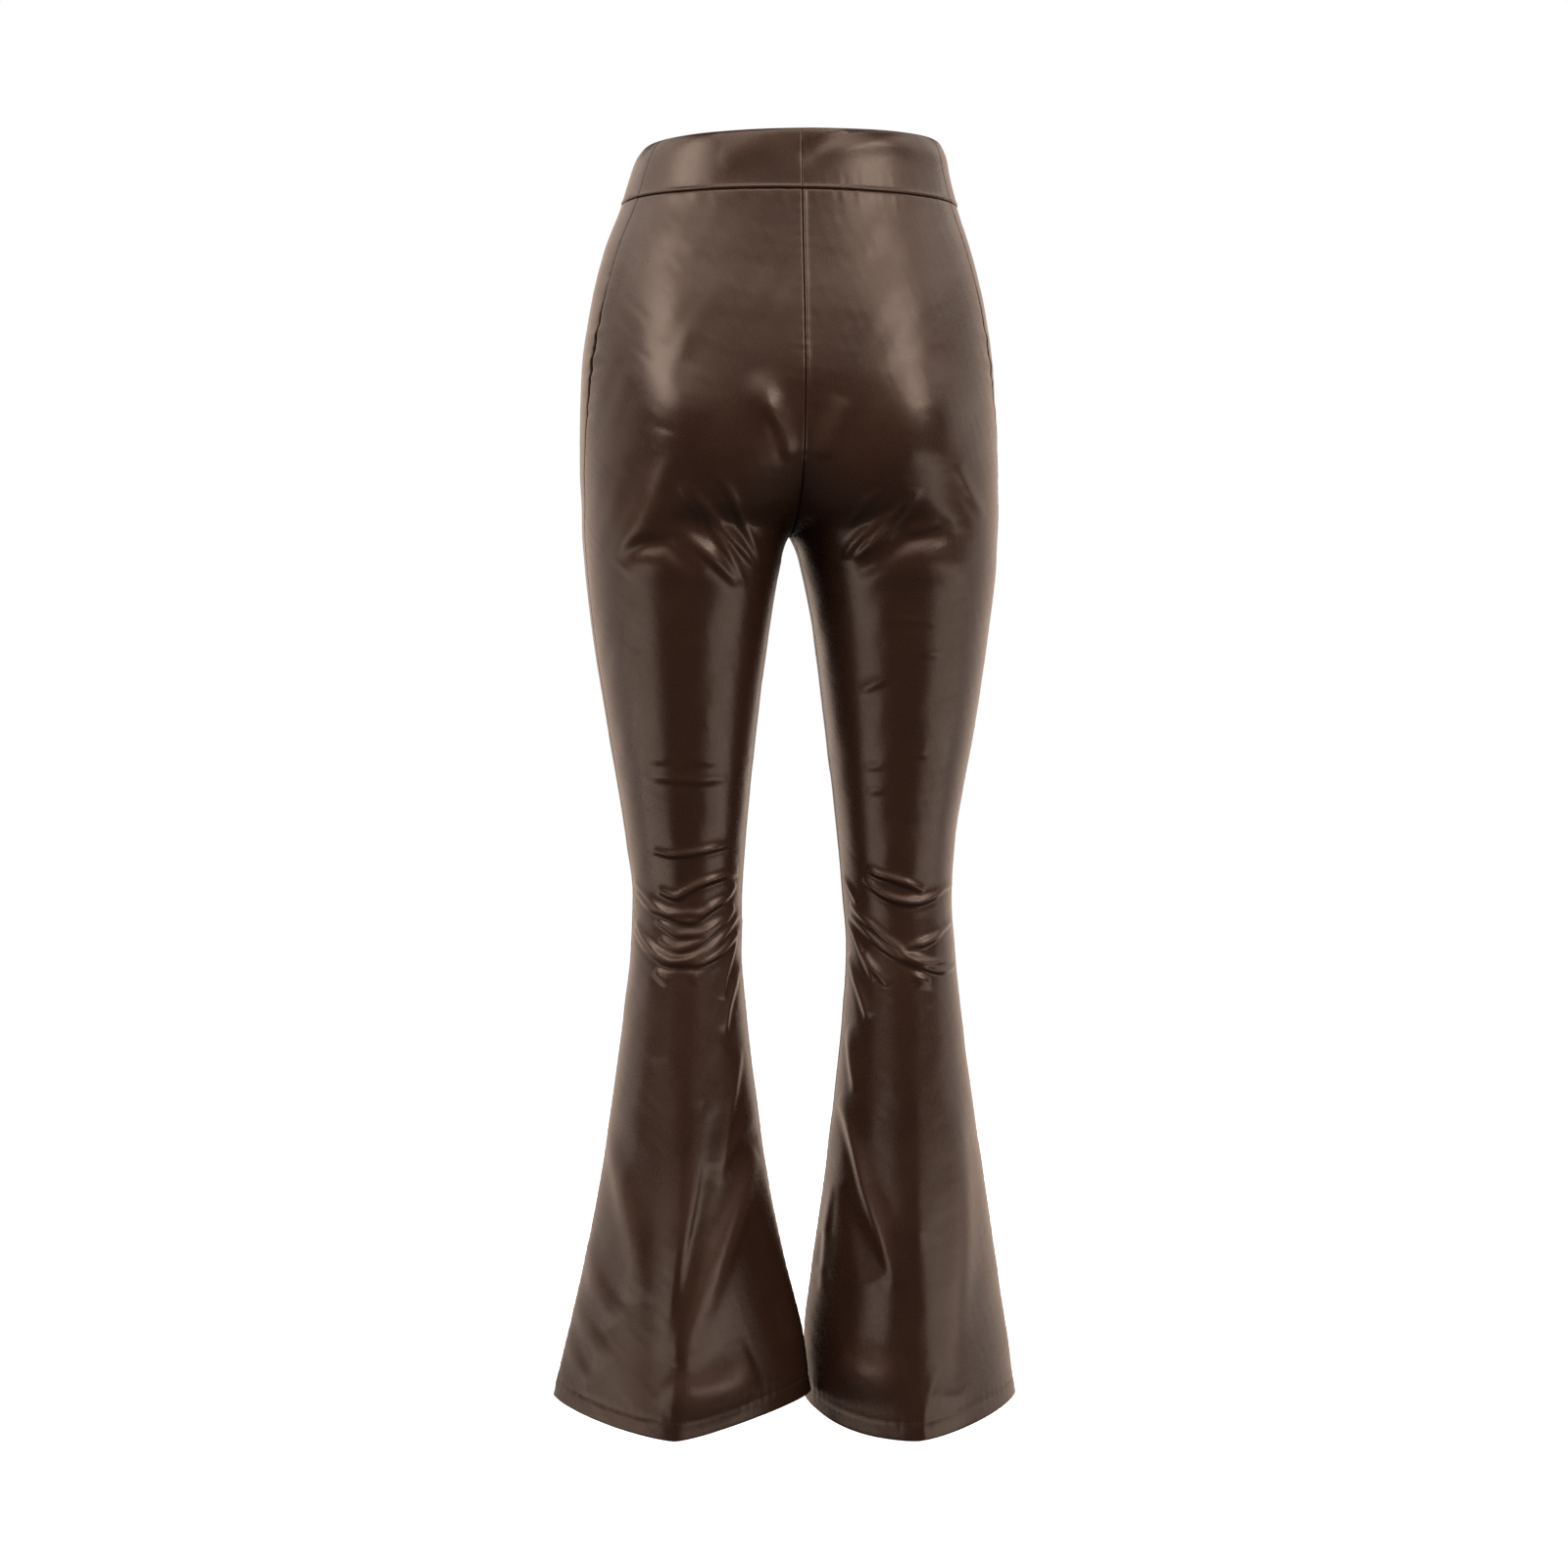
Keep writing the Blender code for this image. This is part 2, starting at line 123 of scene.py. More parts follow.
# The pocket mouth in each side seam, and the pocket's cloth behind it. The reach and the
# tuck are angles round the leg, in radians, in front of the seam and behind it.
MOUTH_TOP = 112 * MM
MOUTH_END = 246 * MM
MOUTH_GAPE = 3.5 * MM
POCKET_TOP = 96 * MM
POCKET_END = 292 * MM
POCKET_REACH = 0.62
POCKET_TUCK = 0.10
POCKET_TAPER = 0.55
POCKET_STRAIGHT = 0.4
POCKET_INSET = 2.7 * MM

# ------------------------------------------------------------------------------- folds

# Each fold is its half width and height, then the places on the cloth that a smooth line
# runs through, each one across and down, all in millimetres. Across is positive on the
# left leg. Every table but the last is of folds on the back.
FULLNESS = (
    (48, 6.0, (96, 40), (98, 175), (84, 320)),
    (48, 6.0, (-84, 40), (-86, 180), (-76, 322)),
    (40, 6.5, (86, 170), (92, 232), (90, 294)),
    (40, 6.5, (-84, 170), (-90, 232), (-88, 294)),
    (12, 4.5, (40, 190), (33, 214), (26, 244)),
    (24, -4.0, (4, 195), (4, 285), (4, 345)),
    (15, -5.5, (12, 304), (50, 310), (95, 312), (140, 322)),
    (15, -5.5, (-12, 300), (-50, 308), (-95, 310), (-140, 320)),
    (13, 2.0, (40, 358), (96, 342), (150, 342)),
    (13, 2.0, (-40, 354), (-96, 340), (-150, 340)),
)
BAND_FOLDS = (
    (6, -2.4, (2, 27), (-12, 14), (-26, 7), (-56, 1), (-94, -2)),
    (9, 0.9, (-10, 24), (-30, 15), (-56, 10), (-93, 7)),
    (12, 0.9, (63, 28), (40, 16), (18, 8)),
    (12, 0.9, (121, 7), (95, 1), (62, 7)),
)
SEAT_FOLDS = (
    (5, 2.2, (33, 216), (24, 227), (16, 243), (12, 262)),
    (9, 2.2, (-29, 214), (-22, 229), (-16, 245), (-15, 260)),
    (12, 2.4, (102, 240), (112, 266), (121, 292), (131, 318), (142, 342)),
    (7, -3.2, (139, 339), (131, 329), (121, 325), (108, 325), (97, 334), (82, 347)),
    (4, 2.4, (98, 312), (88, 321), (74, 332), (60, 345), (48, 356)),
    (3, 2.2, (88, 280), (79, 296), (69, 312), (59, 328), (49, 346), (43, 357)),
    (3, 1.8, (81, 288), (69, 304), (55, 319), (41, 333), (30, 344)),
    (3, 1.8, (68, 272), (59, 284), (50, 301), (40, 318), (28, 343)),
    (3, 1.2, (95, 280), (86, 297), (75, 314)),
    (3, 3.2, (-77, 292), (-68, 305), (-56, 320), (-43, 335)),
    (3.2, 2.4, (-68, 300), (-53, 312), (-42, 323), (-35, 334)),
    (2.8, 1.4, (-51, 285), (-45, 298), (-36, 310)),
    (2.6, 1.0, (-59, 282), (-54, 289), (-49, 294)),
    (4, 2.2, (-89, 282), (-82, 300), (-67, 316), (-51, 331)),
    (7, -3.0, (-120, 310), (-101, 318), (-80, 323), (-62, 335), (-44, 346)),
    (4, 1.2, (-108, 308), (-95, 314), (-80, 316)),
    (5, 1.2, (-118, 262), (-131, 281), (-145, 300)),
)
THIGH_CREASES = (
    (3, 1.2, (114, 505), (78, 508), (55, 506)),
    (3, 0.6, (115, 492), (107, 492), (100, 492)),
    (3, 0.6, (86, 492), (74, 493), (63, 494)),
    (3.5, 1.0, (-50, 437), (-61, 432), (-72, 427)),
    (2.5, 0.6, (-90, 488), (-96, 488), (-102, 488)),
    (2.5, 0.6, (-54, 497), (-61, 497), (-69, 496)),
    (2.5, 0.6, (-56, 517), (-63, 516), (-70, 515)),
    (3, 0.6, (-94, 409), (-102, 409), (-110, 409)),
    (3, 0.6, (-67, 382), (-89, 383), (-112, 385)),
)
KNEE_FOLDS = (
    (2.4, 1.9, (112, 563), (98, 566), (86, 565), (74, 563), (53, 558)),
    (2.8, 2.5, (108, 594), (95, 599), (86, 594), (76, 589), (65, 585), (54, 582), (44, 581)),
    (2.6, 1.6, (125, 588), (117, 598), (108, 607), (98, 612), (78, 612), (68, 607), (56, 599)),
    (
        2.8, 2.0, (124, 595), (117, 605), (106, 612), (94, 616), (84, 618), (65, 607),
        (54, 600), (46, 590),
    ),
    (2.6, 1.7, (110, 617), (102, 623), (92, 629), (77, 628), (66, 622), (56, 615)),
    (3.0, 2.2, (108, 632), (93, 640), (76, 634), (65, 626), (55, 618), (47, 608)),
    (
        3.0, 2.4, (124, 619), (119, 630), (112, 639), (104, 646), (94, 649), (83, 647),
        (72, 642), (61, 634), (52, 624), (41, 611),
    ),
    (
        3.0, 2.4, (125, 625), (119, 637), (111, 645), (101, 651), (79, 651), (67, 647),
        (55, 639), (46, 629), (39, 619),
    ),
    (3.5, 1.2, (111, 657), (102, 667)),
    (3.5, 0.6, (85, 657), (79, 667)),
    (3.2, 1.8, (44, 629), (49, 645), (55, 664), (57, 679)),
    (4.5, 2.2, (40, 649), (47, 669), (52, 685), (55, 703)),
    (2.6, 2.5, (-58, 578), (-66, 582), (-76, 585), (-88, 589), (-101, 595)),
    (
        2.8, 2.8, (-55, 585), (-61, 591), (-70, 598), (-80, 602), (-93, 604), (-111, 599),
        (-120, 593), (-129, 590),
    ),
    (
        2.8, 2.4, (-47, 606), (-53, 614), (-61, 622), (-70, 631), (-80, 639), (-88, 646),
        (-99, 650), (-112, 651), (-129, 649),
    ),
    (
        2.8, 2.4, (-47, 615), (-55, 624), (-62, 632), (-72, 641), (-82, 647), (-92, 651),
        (-103, 655), (-117, 658), (-132, 654),
    ),
    (2.6, 1.8, (-88, 640), (-103, 635), (-113, 630), (-121, 624), (-129, 619)),
    (2.4, 1.0, (-99, 640), (-117, 630)),
    (3.0, 2.4, (-46, 619), (-50, 630), (-54, 642), (-58, 653), (-63, 664)),
    (3.0, 2.0, (-57, 643), (-61, 652), (-67, 661), (-73, 669)),
    (4.0, 2.4, (-47, 649), (-50, 663), (-54, 677), (-59, 693)),
    (3.5, 1.4, (-92, 661), (-106, 666)),
    (3.0, 0.7, (-93, 668), (-108, 669)),
    (2.8, 2.0, (-43, 585), (-51, 604)),
)
FLARE_FOLDS = (
    (12, 3.0, (146, 790), (137, 815), (128, 843), (122, 871), (119, 898)),
    (15, -3.5, (106, 722), (105, 791), (106, 865), (105, 932), (102, 981)),
    (8, 2.4, (70, 754), (79, 821), (87, 884), (93, 935)),
    (6, -2.2, (64, 799), (74, 846), (84, 891), (93, 938)),
    (13, 4.5, (29, 797), (42, 832), (56, 866), (69, 905), (84, 940)),
    (6, 1.6, (41, 718), (46, 746), (52, 774), (56, 804)),
    (9, 1.5, (26, 770), (44, 784), (60, 812)),
    (17, 4.5, (92, 946), (69, 960), (46, 962), (26, 952)),
    (12, 2.0, (161, 872), (156, 895), (139, 920)),
    (10, 1.6, (172, 920), (162, 934), (148, 954)),
    (8, 1.0, (179, 949), (171, 959), (159, 969)),
    (10, -2.5, (17, 907), (3, 944), (-10, 980)),
    (6, 2.2, (-45, 704), (-47, 725), (-50, 748)),
    (7, 3.6, (-39, 757), (-48, 783), (-57, 813), (-70, 846), (-81, 884)),
    (9, -3.2, (-42, 816), (-53, 846), (-67, 877)),
    (6, 1.2, (-34, 820), (-29, 859), (-25, 903)),
    (18, 3.5, (-40, 940), (-63, 946), (-85, 934)),
    (11, -3.0, (-91, 846), (-93, 904), (-95, 959), (-96, 985)),
    (18, 3.2, (-130, 756), (-134, 836), (-128, 911), (-123, 966)),
    (4, 1.2, (-112, 942), (-105, 965), (-100, 986)),
)
FRONT_FOLDS = (
    (9, 2.5, (20, 296), (60, 326), (104, 340)),
    (6, 1.8, (14, 284), (48, 300), (92, 304)),
    (6, 1.6, (16, 318), (44, 344), (80, 360)),
    (9, 2.5, (-18, 292), (-58, 322), (-100, 338)),
    (6, 1.6, (-14, 280), (-46, 298), (-88, 306)),
    (6, 1.8, (-18, 316), (-50, 340), (-86, 352)),
    (3.5, 0.9, (112, 512), (88, 520), (60, 514)),
    (3.5, 0.9, (-60, 500), (-86, 508), (-112, 498)),
    (6, 2.5, (120, 566), (86, 580), (50, 566)),
    (4, 1.4, (108, 604), (84, 612), (58, 606)),
    (5, 1.8, (112, 640), (88, 650), (52, 636)),
    (6, 2.5, (-54, 570), (-88, 584), (-122, 562)),
    (4, 1.4, (-66, 608), (-92, 616), (-118, 606)),
    (5, 1.6, (-60, 642), (-86, 654), (-120, 640)),
    (14, 3.0, (90, 700), (98, 810), (104, 940)),
    (10, 2.2, (44, 770), (50, 850), (40, 950)),
    (9, 2.0, (140, 820), (150, 880), (156, 960)),
    (14, 3.0, (-92, 710), (-104, 820), (-112, 945)),
    (9, 2.0, (-50, 780), (-52, 860), (-44, 950)),
    (9, 2.2, (-140, 830), (-148, 900), (-154, 965)),
)
FOLD_STEPS = 22
FOLD_REACH = 3.5

# How slowly a fold fades out at its ends: the power of the rise from each end.
CLOSED, OPEN, BROAD = 0.6, 0.35, 2.0

# A narrow ridge rises slowly on its upper side and falls quickly on its lower side, to a
# dip below it. All are shares of its half width, but for the dip's depth.
NARROW = 12 * MM
UPPER_SIDE, LOWER_SIDE = 1.4, 0.8
DIP, DIP_AT, DIP_WIDTH = 0.22, 1.4, 0.8

# ---------------------------------------------------------------------------- the cloth

CLOTH = 0.9 * MM
POCKET_CLOTH = 0.6 * MM
TURN = 1.2 * MM
TURN_UP = 16 * MM
HEM_STITCH = 14 * MM

# The edges of a panel roll in to the seam: the distance from it and the depth there, in
# millimetres, at the sides and along the top.
EDGE_ROLL = ((0.005, 2.8), (0.12, 1.5), (0.25, 0.75), (0.65, 0.3), (1.3, 0.08), (2.4, 0.0))
TOP_ROLL = ((0.15, 1.3), (0.3, 0.5), (0.8, 0.2), (1.6, 0.05), (3.0, 0.0))
EDGE_DISTANCES, EDGE_DEPTHS = (np.array(values) * MM for values in zip(*EDGE_ROLL))
TOP_DISTANCES, TOP_DEPTHS = (np.array(values) * MM for values in zip(*TOP_ROLL))
BAND_ROLL = 0.45
HEM_ROLL = 0.2
HEM_ROLL_FROM, HEM_ROLL_TO = 4 * MM, 24 * MM
GROOVE_DEPTH, GROOVE_WIDTH = 0.45 * MM, 1.0 * MM

# The centre seam's allowance is pressed to one side, where it shows as a ridge.
PRESSED_TO = ("right", "back")
PRESSED, PRESSED_AT, PRESSED_WIDTH = 0.75 * MM, 1.5 * MM, 1.1 * MM
PRESSED_FADES, PRESSED_ENDS = 200 * MM, 270 * MM

# The grid of a panel: how many rows lead down to each drop in millimetres, the rows that
# bend to the crotch, and the columns across.
ROWS_TO = ((165, 40), (311.6, 86), (350, 26), (560, 90), (690, 104), (980, 120), (993.8, 8))
CROTCH_ROWS = 76
CROTCH_EASE = 1.8
CROTCH_BLEND = 14 * MM
COLUMNS = {"back": 96, "front": 84}
BAND_COLUMNS = 110
POCKET_ROWS = 72
POCKET_COLUMNS = 48
OUTER_ROW = 12

# The shares of the way along a row at which its length is measured.
SHARES = 0.5 - 0.5 * np.cos(np.linspace(0.0, np.pi, 240))

# The uneven waves of the cloth along each seam: the height, how far a wave reaches from
# its seam, its period and its start.
WAVES = {
    "centre seam": (0.24 * MM, 5 * MM, 9 * MM, 1.1),
    "side seam": (0.24 * MM, 5 * MM, 8.3 * MM, 2.7),
    "pocket mouth": (0.9 * MM, 9 * MM, 19 * MM, 0.4),
    "waist seam": (0.26 * MM, 9 * MM, 13 * MM, 3.3),
    "hem": (0.5 * MM, 5 * MM, 8.5 * MM, 4.2),
}

# The softness of cloth that hangs, in pairs of crossed waves: the height, and each wave's
# direction, period and start.
SOFTNESS = (
    (0.42 * MM, ((0.6, 0.0, 1.0), 61 * MM, 0.7), ((1.0, -0.4, 0.0), 47 * MM, 1.9)),
    (0.14 * MM, ((-0.9, 0.3, 1.0), 19 * MM, 2.6), ((1.0, 1.0, 0.5), 27 * MM, 0.2)),
)

# The waistband's section, from its lower edge up over the top and down inside: the drop
# and how far it stands out from the legs, in millimetres.
BAND_SECTION = (
    (47.6, -2.2), (47.8, -1.2), (47.9, -0.4), (47.8, 0.3), (47.4, 0.8), (46.7, 1.0),
    (46.0, 0.95), (45.4, 0.75), (44.8, 0.58), (43.6, 0.5), (39, 0.5), (34, 0.5), (30, 0.5),
    (26, 0.5), (22, 0.5), (18, 0.5), (14, 0.5), (10, 0.5), (6, 0.45), (3.4, 0.35),
    (1.9, 0.1), (0.7, -0.35), (0.1, -0.95), (0.3, -1.6), (1.2, -2.15), (2.6, -2.4),
    (6, -2.5), (14, -2.5), (24, -2.5), (34, -2.5), (44, -2.5),
)
BAND_OUTER_FROM, BAND_OUTER_TO = -1.2 * MM, 0.3 * MM
BAND_PATCHES = 0.7 * MM
BAND_TUG = 0.12 * MM
TUG_FROM, TUG_TO = 30 * MM, 46 * MM

STITCH_LONG = 2.6 * MM
STITCH_STEP = 3.4 * MM
STITCH_THICK = 0.42 * MM
STITCH_PROUD = 0.05 * MM
STITCH_TIP = 0.55
STITCH_DIP = 0.35

# ------------------------------------------------------------------ colours and lights

# The coating, with a painted highlight that makes fold crests paler and a painted shade that
# darkens the grain's valleys, and how high a fold stands where the painted highlight starts and
# where it is strongest.
LEATHER_DARK = (0.034, 0.0150, 0.0092)
LEATHER_LIGHT = (0.048, 0.0222, 0.0138)
LEATHER_CREST_HIGHLIGHT = (0.095, 0.0520, 0.0370)
LEATHER_VALLEY_SHADE = (0.025, 0.0108, 0.0064)
LEATHER_SHEEN = (1.0, 0.84, 0.74)
LEATHER_ROUGH = (0.25, 0.32)
LEATHER_GLOSS = 0.55
SPECK_ROUGH = (-0.03, 0.03)
CREST_HIGHLIGHT_BETWEEN = (0.8 * MM, 2.6 * MM)
CREST_HIGHLIGHT_MOST = VALLEY_SHADE_MOST = 0.5
GRAIN_WARP = (0.6 * MM, 0.6 * MM, 0.6 * MM)
NOISE = (0.3, 0.7)
WAVE_PER_THREAD = 0.16
CLOTH_ROUGH = (0.82, 0.95)
FLOOR_ROUGH = (0.85, 0.95)
CLOTHS = {
    # dark and light, mixed by thread height as painted shade between threads, threads a metre,
    # slant, depth
    "knit_backing": (((0.030, 0.018, 0.013), (0.075, 0.050, 0.038)), 1300.0, 0.785, 0.08 * MM),
    "pocket_cloth": (((0.018, 0.010, 0.007), (0.045, 0.026, 0.019)), 2100.0, 0.0, 0.05 * MM),
    "sewing_thread": (((0.035, 0.016, 0.010), (0.080, 0.040, 0.026)), 4200.0, 0.5, 0.05 * MM),
}

# The studio, in metres, with angles in degrees. Azimuth 0 is in front of the trousers.
FLOOR = -1.05
MIDDLE = Vector((0.0, 0.0, -0.51))
CAMERA_TURN = 5.7
CAMERA_DISTANCE = 3.0
CAMERA_HEIGHT = -0.51
CAMERA_ASIDE = 4.7 * MM
PICTURE_WIDTH = 1.256

ROOM = 0.085
ROOM_COLOUR = (1.0, 0.91, 0.84)
WARM = (1.0, 0.91, 0.83)
BROWN = (1.0, 0.78, 0.64)
SOFTBOXES = (
    # name, azimuths, elevation, distance, width, height, radiance, colour
    ("seat_left_box", (115,), 32, 2.7, 1.4, 0.9, 6.2, WARM),
    ("seat_right_box", (223,), 30, 2.7, 1.3, 0.9, 6.3, WARM),
    ("flank_{}_box", (64, 284), 4, 2.8, 1.7, 2.2, 0.9, WARM),
    ("hip_{}_box", (108, 234), 40, 2.8, 2.6, 1.3, 1.1, WARM),
    ("side_{}_box", (62, 286), 42, 2.8, 2.4, 1.4, 1.6, WARM),
    ("leg_{}_box", (106, 242), -15, 2.6, 2.6, 0.6, 2.4, WARM),
    ("front_{}_box", (28, 320), 3, 2.8, 2.0, 2.8, 1.2, BROWN),
    ("high_back_box", (174,), 34, 2.6, 2.0, 0.8, 0.65, WARM),
    ("top_back_box", (174,), 58, 2.6, 2.6, 1.3, 3.0, WARM),
)
ROUND_BOXES = ("seat_left_box", "seat_right_box")


def smooth_step(low, high, value):
    """0 below low, 1 above high, and a smooth rise between them."""
    t = np.clip((value - low) / (high - low), 0.0, 1.0)
    return t * t * (3.0 - 2.0 * t)


def slopes(x, y):
    """The slope at each row of a table column that gives a curve with no overshoot."""
    steps = np.diff(y) / np.diff(x)
    inner = np.where(steps[:-1] * steps[1:] > 0.0, 2.0 * steps[:-1] * steps[1:], 0.0)
    total = steps[:-1] + steps[1:]
    inner = inner / np.where(np.abs(total) > 1e-12, total, 1.0)
    return np.concatenate(([steps[0]], inner, [steps[-1]]))


def read_column(table, column, drop):
    """A table's column at any drop, as a smooth curve through its rows, in metres."""
    rows = np.array(table, float)
    x, y = rows[:, 0] * MM, rows[:, column]
    m = slopes(x, y)
    drop = np.clip(drop, x[0], x[-1])
    k = np.clip(np.searchsorted(x, drop) - 1, 0, len(x) - 2)
    width = x[k + 1] - x[k]
    t = (drop - x[k]) / width
    rise = (y[k + 1] - y[k]) * t * t * (3.0 - 2.0 * t)
    bend = width * (m[k] * t * (1.0 - t) ** 2 - m[k + 1] * t * t * (1.0 - t))
    return y[k] + rise + bend


def outline(leg, drop):
    """The outer and inner edge of a leg, seen from behind."""
    first = 1 if leg == "left" else 3
    return read_column(OUTLINE, first, drop) * MM, read_column(OUTLINE, first + 1, drop) * MM


def flare(drop):
    """How far the flare has opened: 0 at the knee and 1 at the hem."""
    return smooth_step(KNEE, HEM, drop)


def profile(leg, drop):
    """The back, front and widest line of a leg, and the power of its section's curve."""
    back, front, widest = (read_column(PROFILE, n, drop) * MM for n in (1, 2, 3))
    shift = SET_BACK[leg] * flare(drop)
    deeper = DEEPER[leg] * flare(drop)
    power = 2.0 / read_column(PROFILE, 5, drop)
    return back + shift + deeper, front + shift - deeper, widest + shift, power


def inner_back(angle):
    """1 in the middle of the inner back quarter of a leg, and 0 outside it."""
    return np.where(np.cos(angle) < 0.0, np.maximum(-np.sin(2.0 * angle), 0.0), 0.0)


def signed_power(value, power):
    return np.sign(value) * np.abs(value) ** power


def bare_cloth(leg, angle, drop):
    """Points on the outside of the trousers with no folds."""
    angle, drop = np.broadcast_arrays(angle, drop)
    outer, inner = outline(leg, drop)
    back, front, widest, power = profile(leg, drop)
    cosine, sine = np.cos(angle), np.sin(angle)
    depth = np.where(sine > 0.0, back - widest, widest - front)
    quarter = flare(drop) * inner_back(angle)
    power = 2.0 / (2.0 / power + INNER_ROUND[leg] * quarter)
    across = (outer + inner) / 2.0 + (outer - inner) / 2.0 * signed_power(cosine, power)
    across = across + CREASE_OUT[leg] * flare(drop) * np.maximum(sine, 0.0) ** 2
    y = widest + depth * signed_power(sine, power)
    z = -drop - flare(drop) * (LOWER[leg] + HEM_SLOPE[leg] * y) - INNER_SAG[leg] * quarter
    return np.stack((SIDE[leg] * across, y, z), axis=-1)


def unit(vectors):
    return vectors / np.linalg.norm(vectors, axis=-1, keepdims=True)


def outward(leg, angle, drop):
    """The direction out of the cloth at each point."""
    turn, step = 0.03, 1.5 * MM
    round_it = bare_cloth(leg, angle + turn, drop) - bare_cloth(leg, angle - turn, drop)
    down_it = bare_cloth(leg, angle, drop + step) - bare_cloth(leg, angle, drop - step)
    return unit(np.cross(down_it, round_it) * SIDE[leg])


def centre_angle(leg, drop):
    """The angle of the centre seam, or of the inseam below the crotch."""
    outer, inner = outline(leg, drop)
    power = profile(leg, drop)[3]
    ratio = np.clip((outer + inner) / (outer - inner), 0.0, 1.0)
    angle = np.pi - np.arccos(np.clip(ratio ** (1.0 / power), 0.0, 1.0))
    return np.where(drop >= CROTCH, np.pi, angle)


def angle_at_depth(leg, y, drop):
    """The angle of the point of the outer half of a section that lies at y."""
    back, front, widest, power = profile(leg, drop)
    depth = np.where(y > widest, back - widest, widest - front)
    ratio = np.clip(np.abs(y - widest) / depth, 0.0, 1.0)
    return np.sign(y - widest) * np.arcsin(ratio ** (1.0 / power))


def side_seam(leg, drop):
    """How far back the side seam lies."""
    return read_column(PROFILE, 4, drop) * MM + SET_BACK[leg] * flare(drop)


def mouth(drop):
    """How far each edge of the pocket's mouth stands back from the side seam."""
    t = np.clip((drop - MOUTH_TOP) / (MOUTH_END - MOUTH_TOP), 0.0, 1.0)
    return MOUTH_GAPE / 2.0 * np.sin(np.pi * t) ** 2


def wobble(place, period, start):
    """An uneven wave between about -1 and 1, the same each time the script runs."""
    turn = 2.0 * np.pi * place / period
    return (
        0.5 * np.sin(turn + start)
        + 0.3 * np.sin(turn * 1.618 + 2.3 * start)
        + 0.2 * np.sin(turn * 0.731 + 5.1 * start)
    )


def fold_line(leg, face, places):
    """Points along a fold on the bare cloth, with the direction out of the cloth there."""
    ruler = np.concatenate(([0.0], np.cumsum(np.linalg.norm(np.diff(places, axis=0), axis=1))))
    table = np.column_stack((ruler, places))
    along = np.linspace(0.0, ruler[-1], FOLD_STEPS) * MM
    across = SIDE[leg] * read_column(table, 1, along) * MM
    drop = read_column(table, 2, along) * MM
    outer, inner = outline(leg, drop)
    power = profile(leg, drop)[3]
    ratio = np.clip((2.0 * across - outer - inner) / (outer - inner), -1.0, 1.0)
    angle = np.arccos(signed_power(ratio, 1.0 / power))
    angle = angle if face == "back" else -angle
    return bare_cloth(leg, angle, drop), outward(leg, angle, drop)


def lift_at(points, line, normals, half_width, height, ends):
    """How far one fold lifts each of the points."""
    nearest = np.full(len(points), 1e9)
    along = np.zeros(len(points))
    signed = np.zeros(len(points))
    for n in range(len(line) - 1):
        run = line[n + 1] - line[n]
        t = np.clip((points - line[n]) @ run / (run @ run), 0.0, 1.0)
        off = points - line[n] - t[:, None] * run
        distance = np.linalg.norm(off, axis=1)
        below = np.cross(run, normals[n])
        below = below if below[2] < 0.0 else -below
        closer = distance < nearest
        along = np.where(closer, (n + t) / (len(line) - 1), along)
        signed = np.where(closer, distance * np.sign(off @ below), signed)
        nearest = np.minimum(nearest, distance)
    if height > 0.0 and half_width < NARROW:
        width = half_width * np.where(signed < 0.0, UPPER_SIDE, LOWER_SIDE)
        shape = np.exp(-((nearest / width) ** 2))
        shape -= DIP * np.exp(-(((signed / half_width - DIP_AT) / DIP_WIDTH) ** 2))
    else:
        shape = np.exp(-((nearest / half_width) ** 2))
    return height * np.sin(np.pi * along) ** ends * shape


def folded(points):
    """How far all the folds lift each point: the broad fullness, and the folds alone."""
    flat = points.reshape(-1, 3)
    broad, sharp = np.zeros(len(flat)), np.zeros(len(flat))
    groups = (
        ("back", FULLNESS, BROAD, broad),
        ("back", BAND_FOLDS + SEAT_FOLDS + THIGH_CREASES + FLARE_FOLDS, CLOSED, sharp),
        ("front", FRONT_FOLDS, CLOSED, sharp),
        ("back", KNEE_FOLDS, OPEN, sharp),
    )
    for face, table, ends, lift in groups:
        for half_width, height, *places in table:
            leg = "left" if places[len(places) // 2][0] > 0 else "right"
            line, normals = fold_line(leg, face, places)
            reach = FOLD_REACH * half_width * MM
            near = ((flat > line.min(0) - reach) & (flat < line.max(0) + reach)).all(1)
            lift[near] += lift_at(
                flat[near], line, normals, half_width * MM, height * MM, ends
            )
    return broad.reshape(points.shape[:-1]), sharp.reshape(points.shape[:-1])


def softness(points):
    """The slow unevenness of cloth that hangs."""
    lift = 0.0
    for height, *pair in SOFTNESS:
        first, second = (wobble(points @ np.array(way), step, at) for way, step, at in pair)
        lift = lift + height * first * second
    return lift


def wave(seam, distance, place):
    """The uneven wave of the cloth along a seam, which fades away from it."""
    height, reach, period, start = WAVES[seam]
    return height * np.exp(-distance / reach) * wobble(place, period, start)


# ------------------------------------------------------------------------- cloth pieces


def row_drops():
    """Each row's drop at the centre seam or inseam and at the side seam, and its depth."""
    side = list(BAND_DEPTH + TOP_DISTANCES)
    for level, count in ROWS_TO:
        side.extend(np.linspace(side[-1], level * MM, count + 1)[1:])
    side = np.array(side)
    centre = side.copy()
    crotch_row = int(np.argmin(np.abs(side - CROTCH)))
    first = crotch_row - CROTCH_ROWS
    t = np.linspace(0.0, 1.0, CROTCH_ROWS + 1)
    centre[first : crotch_row + 1] = CROTCH - (CROTCH - side[first]) * (1.0 - t) ** CROTCH_EASE
    hem_drop, hem_depth = hem_turn()
    depth = np.concatenate((np.zeros(len(side)), hem_depth))
    depth[: len(TOP_DEPTHS)] = TOP_DEPTHS
    centre, side = np.append(centre, hem_drop), np.append(side, hem_drop)
    return centre[:, None], side[:, None], depth[:, None]


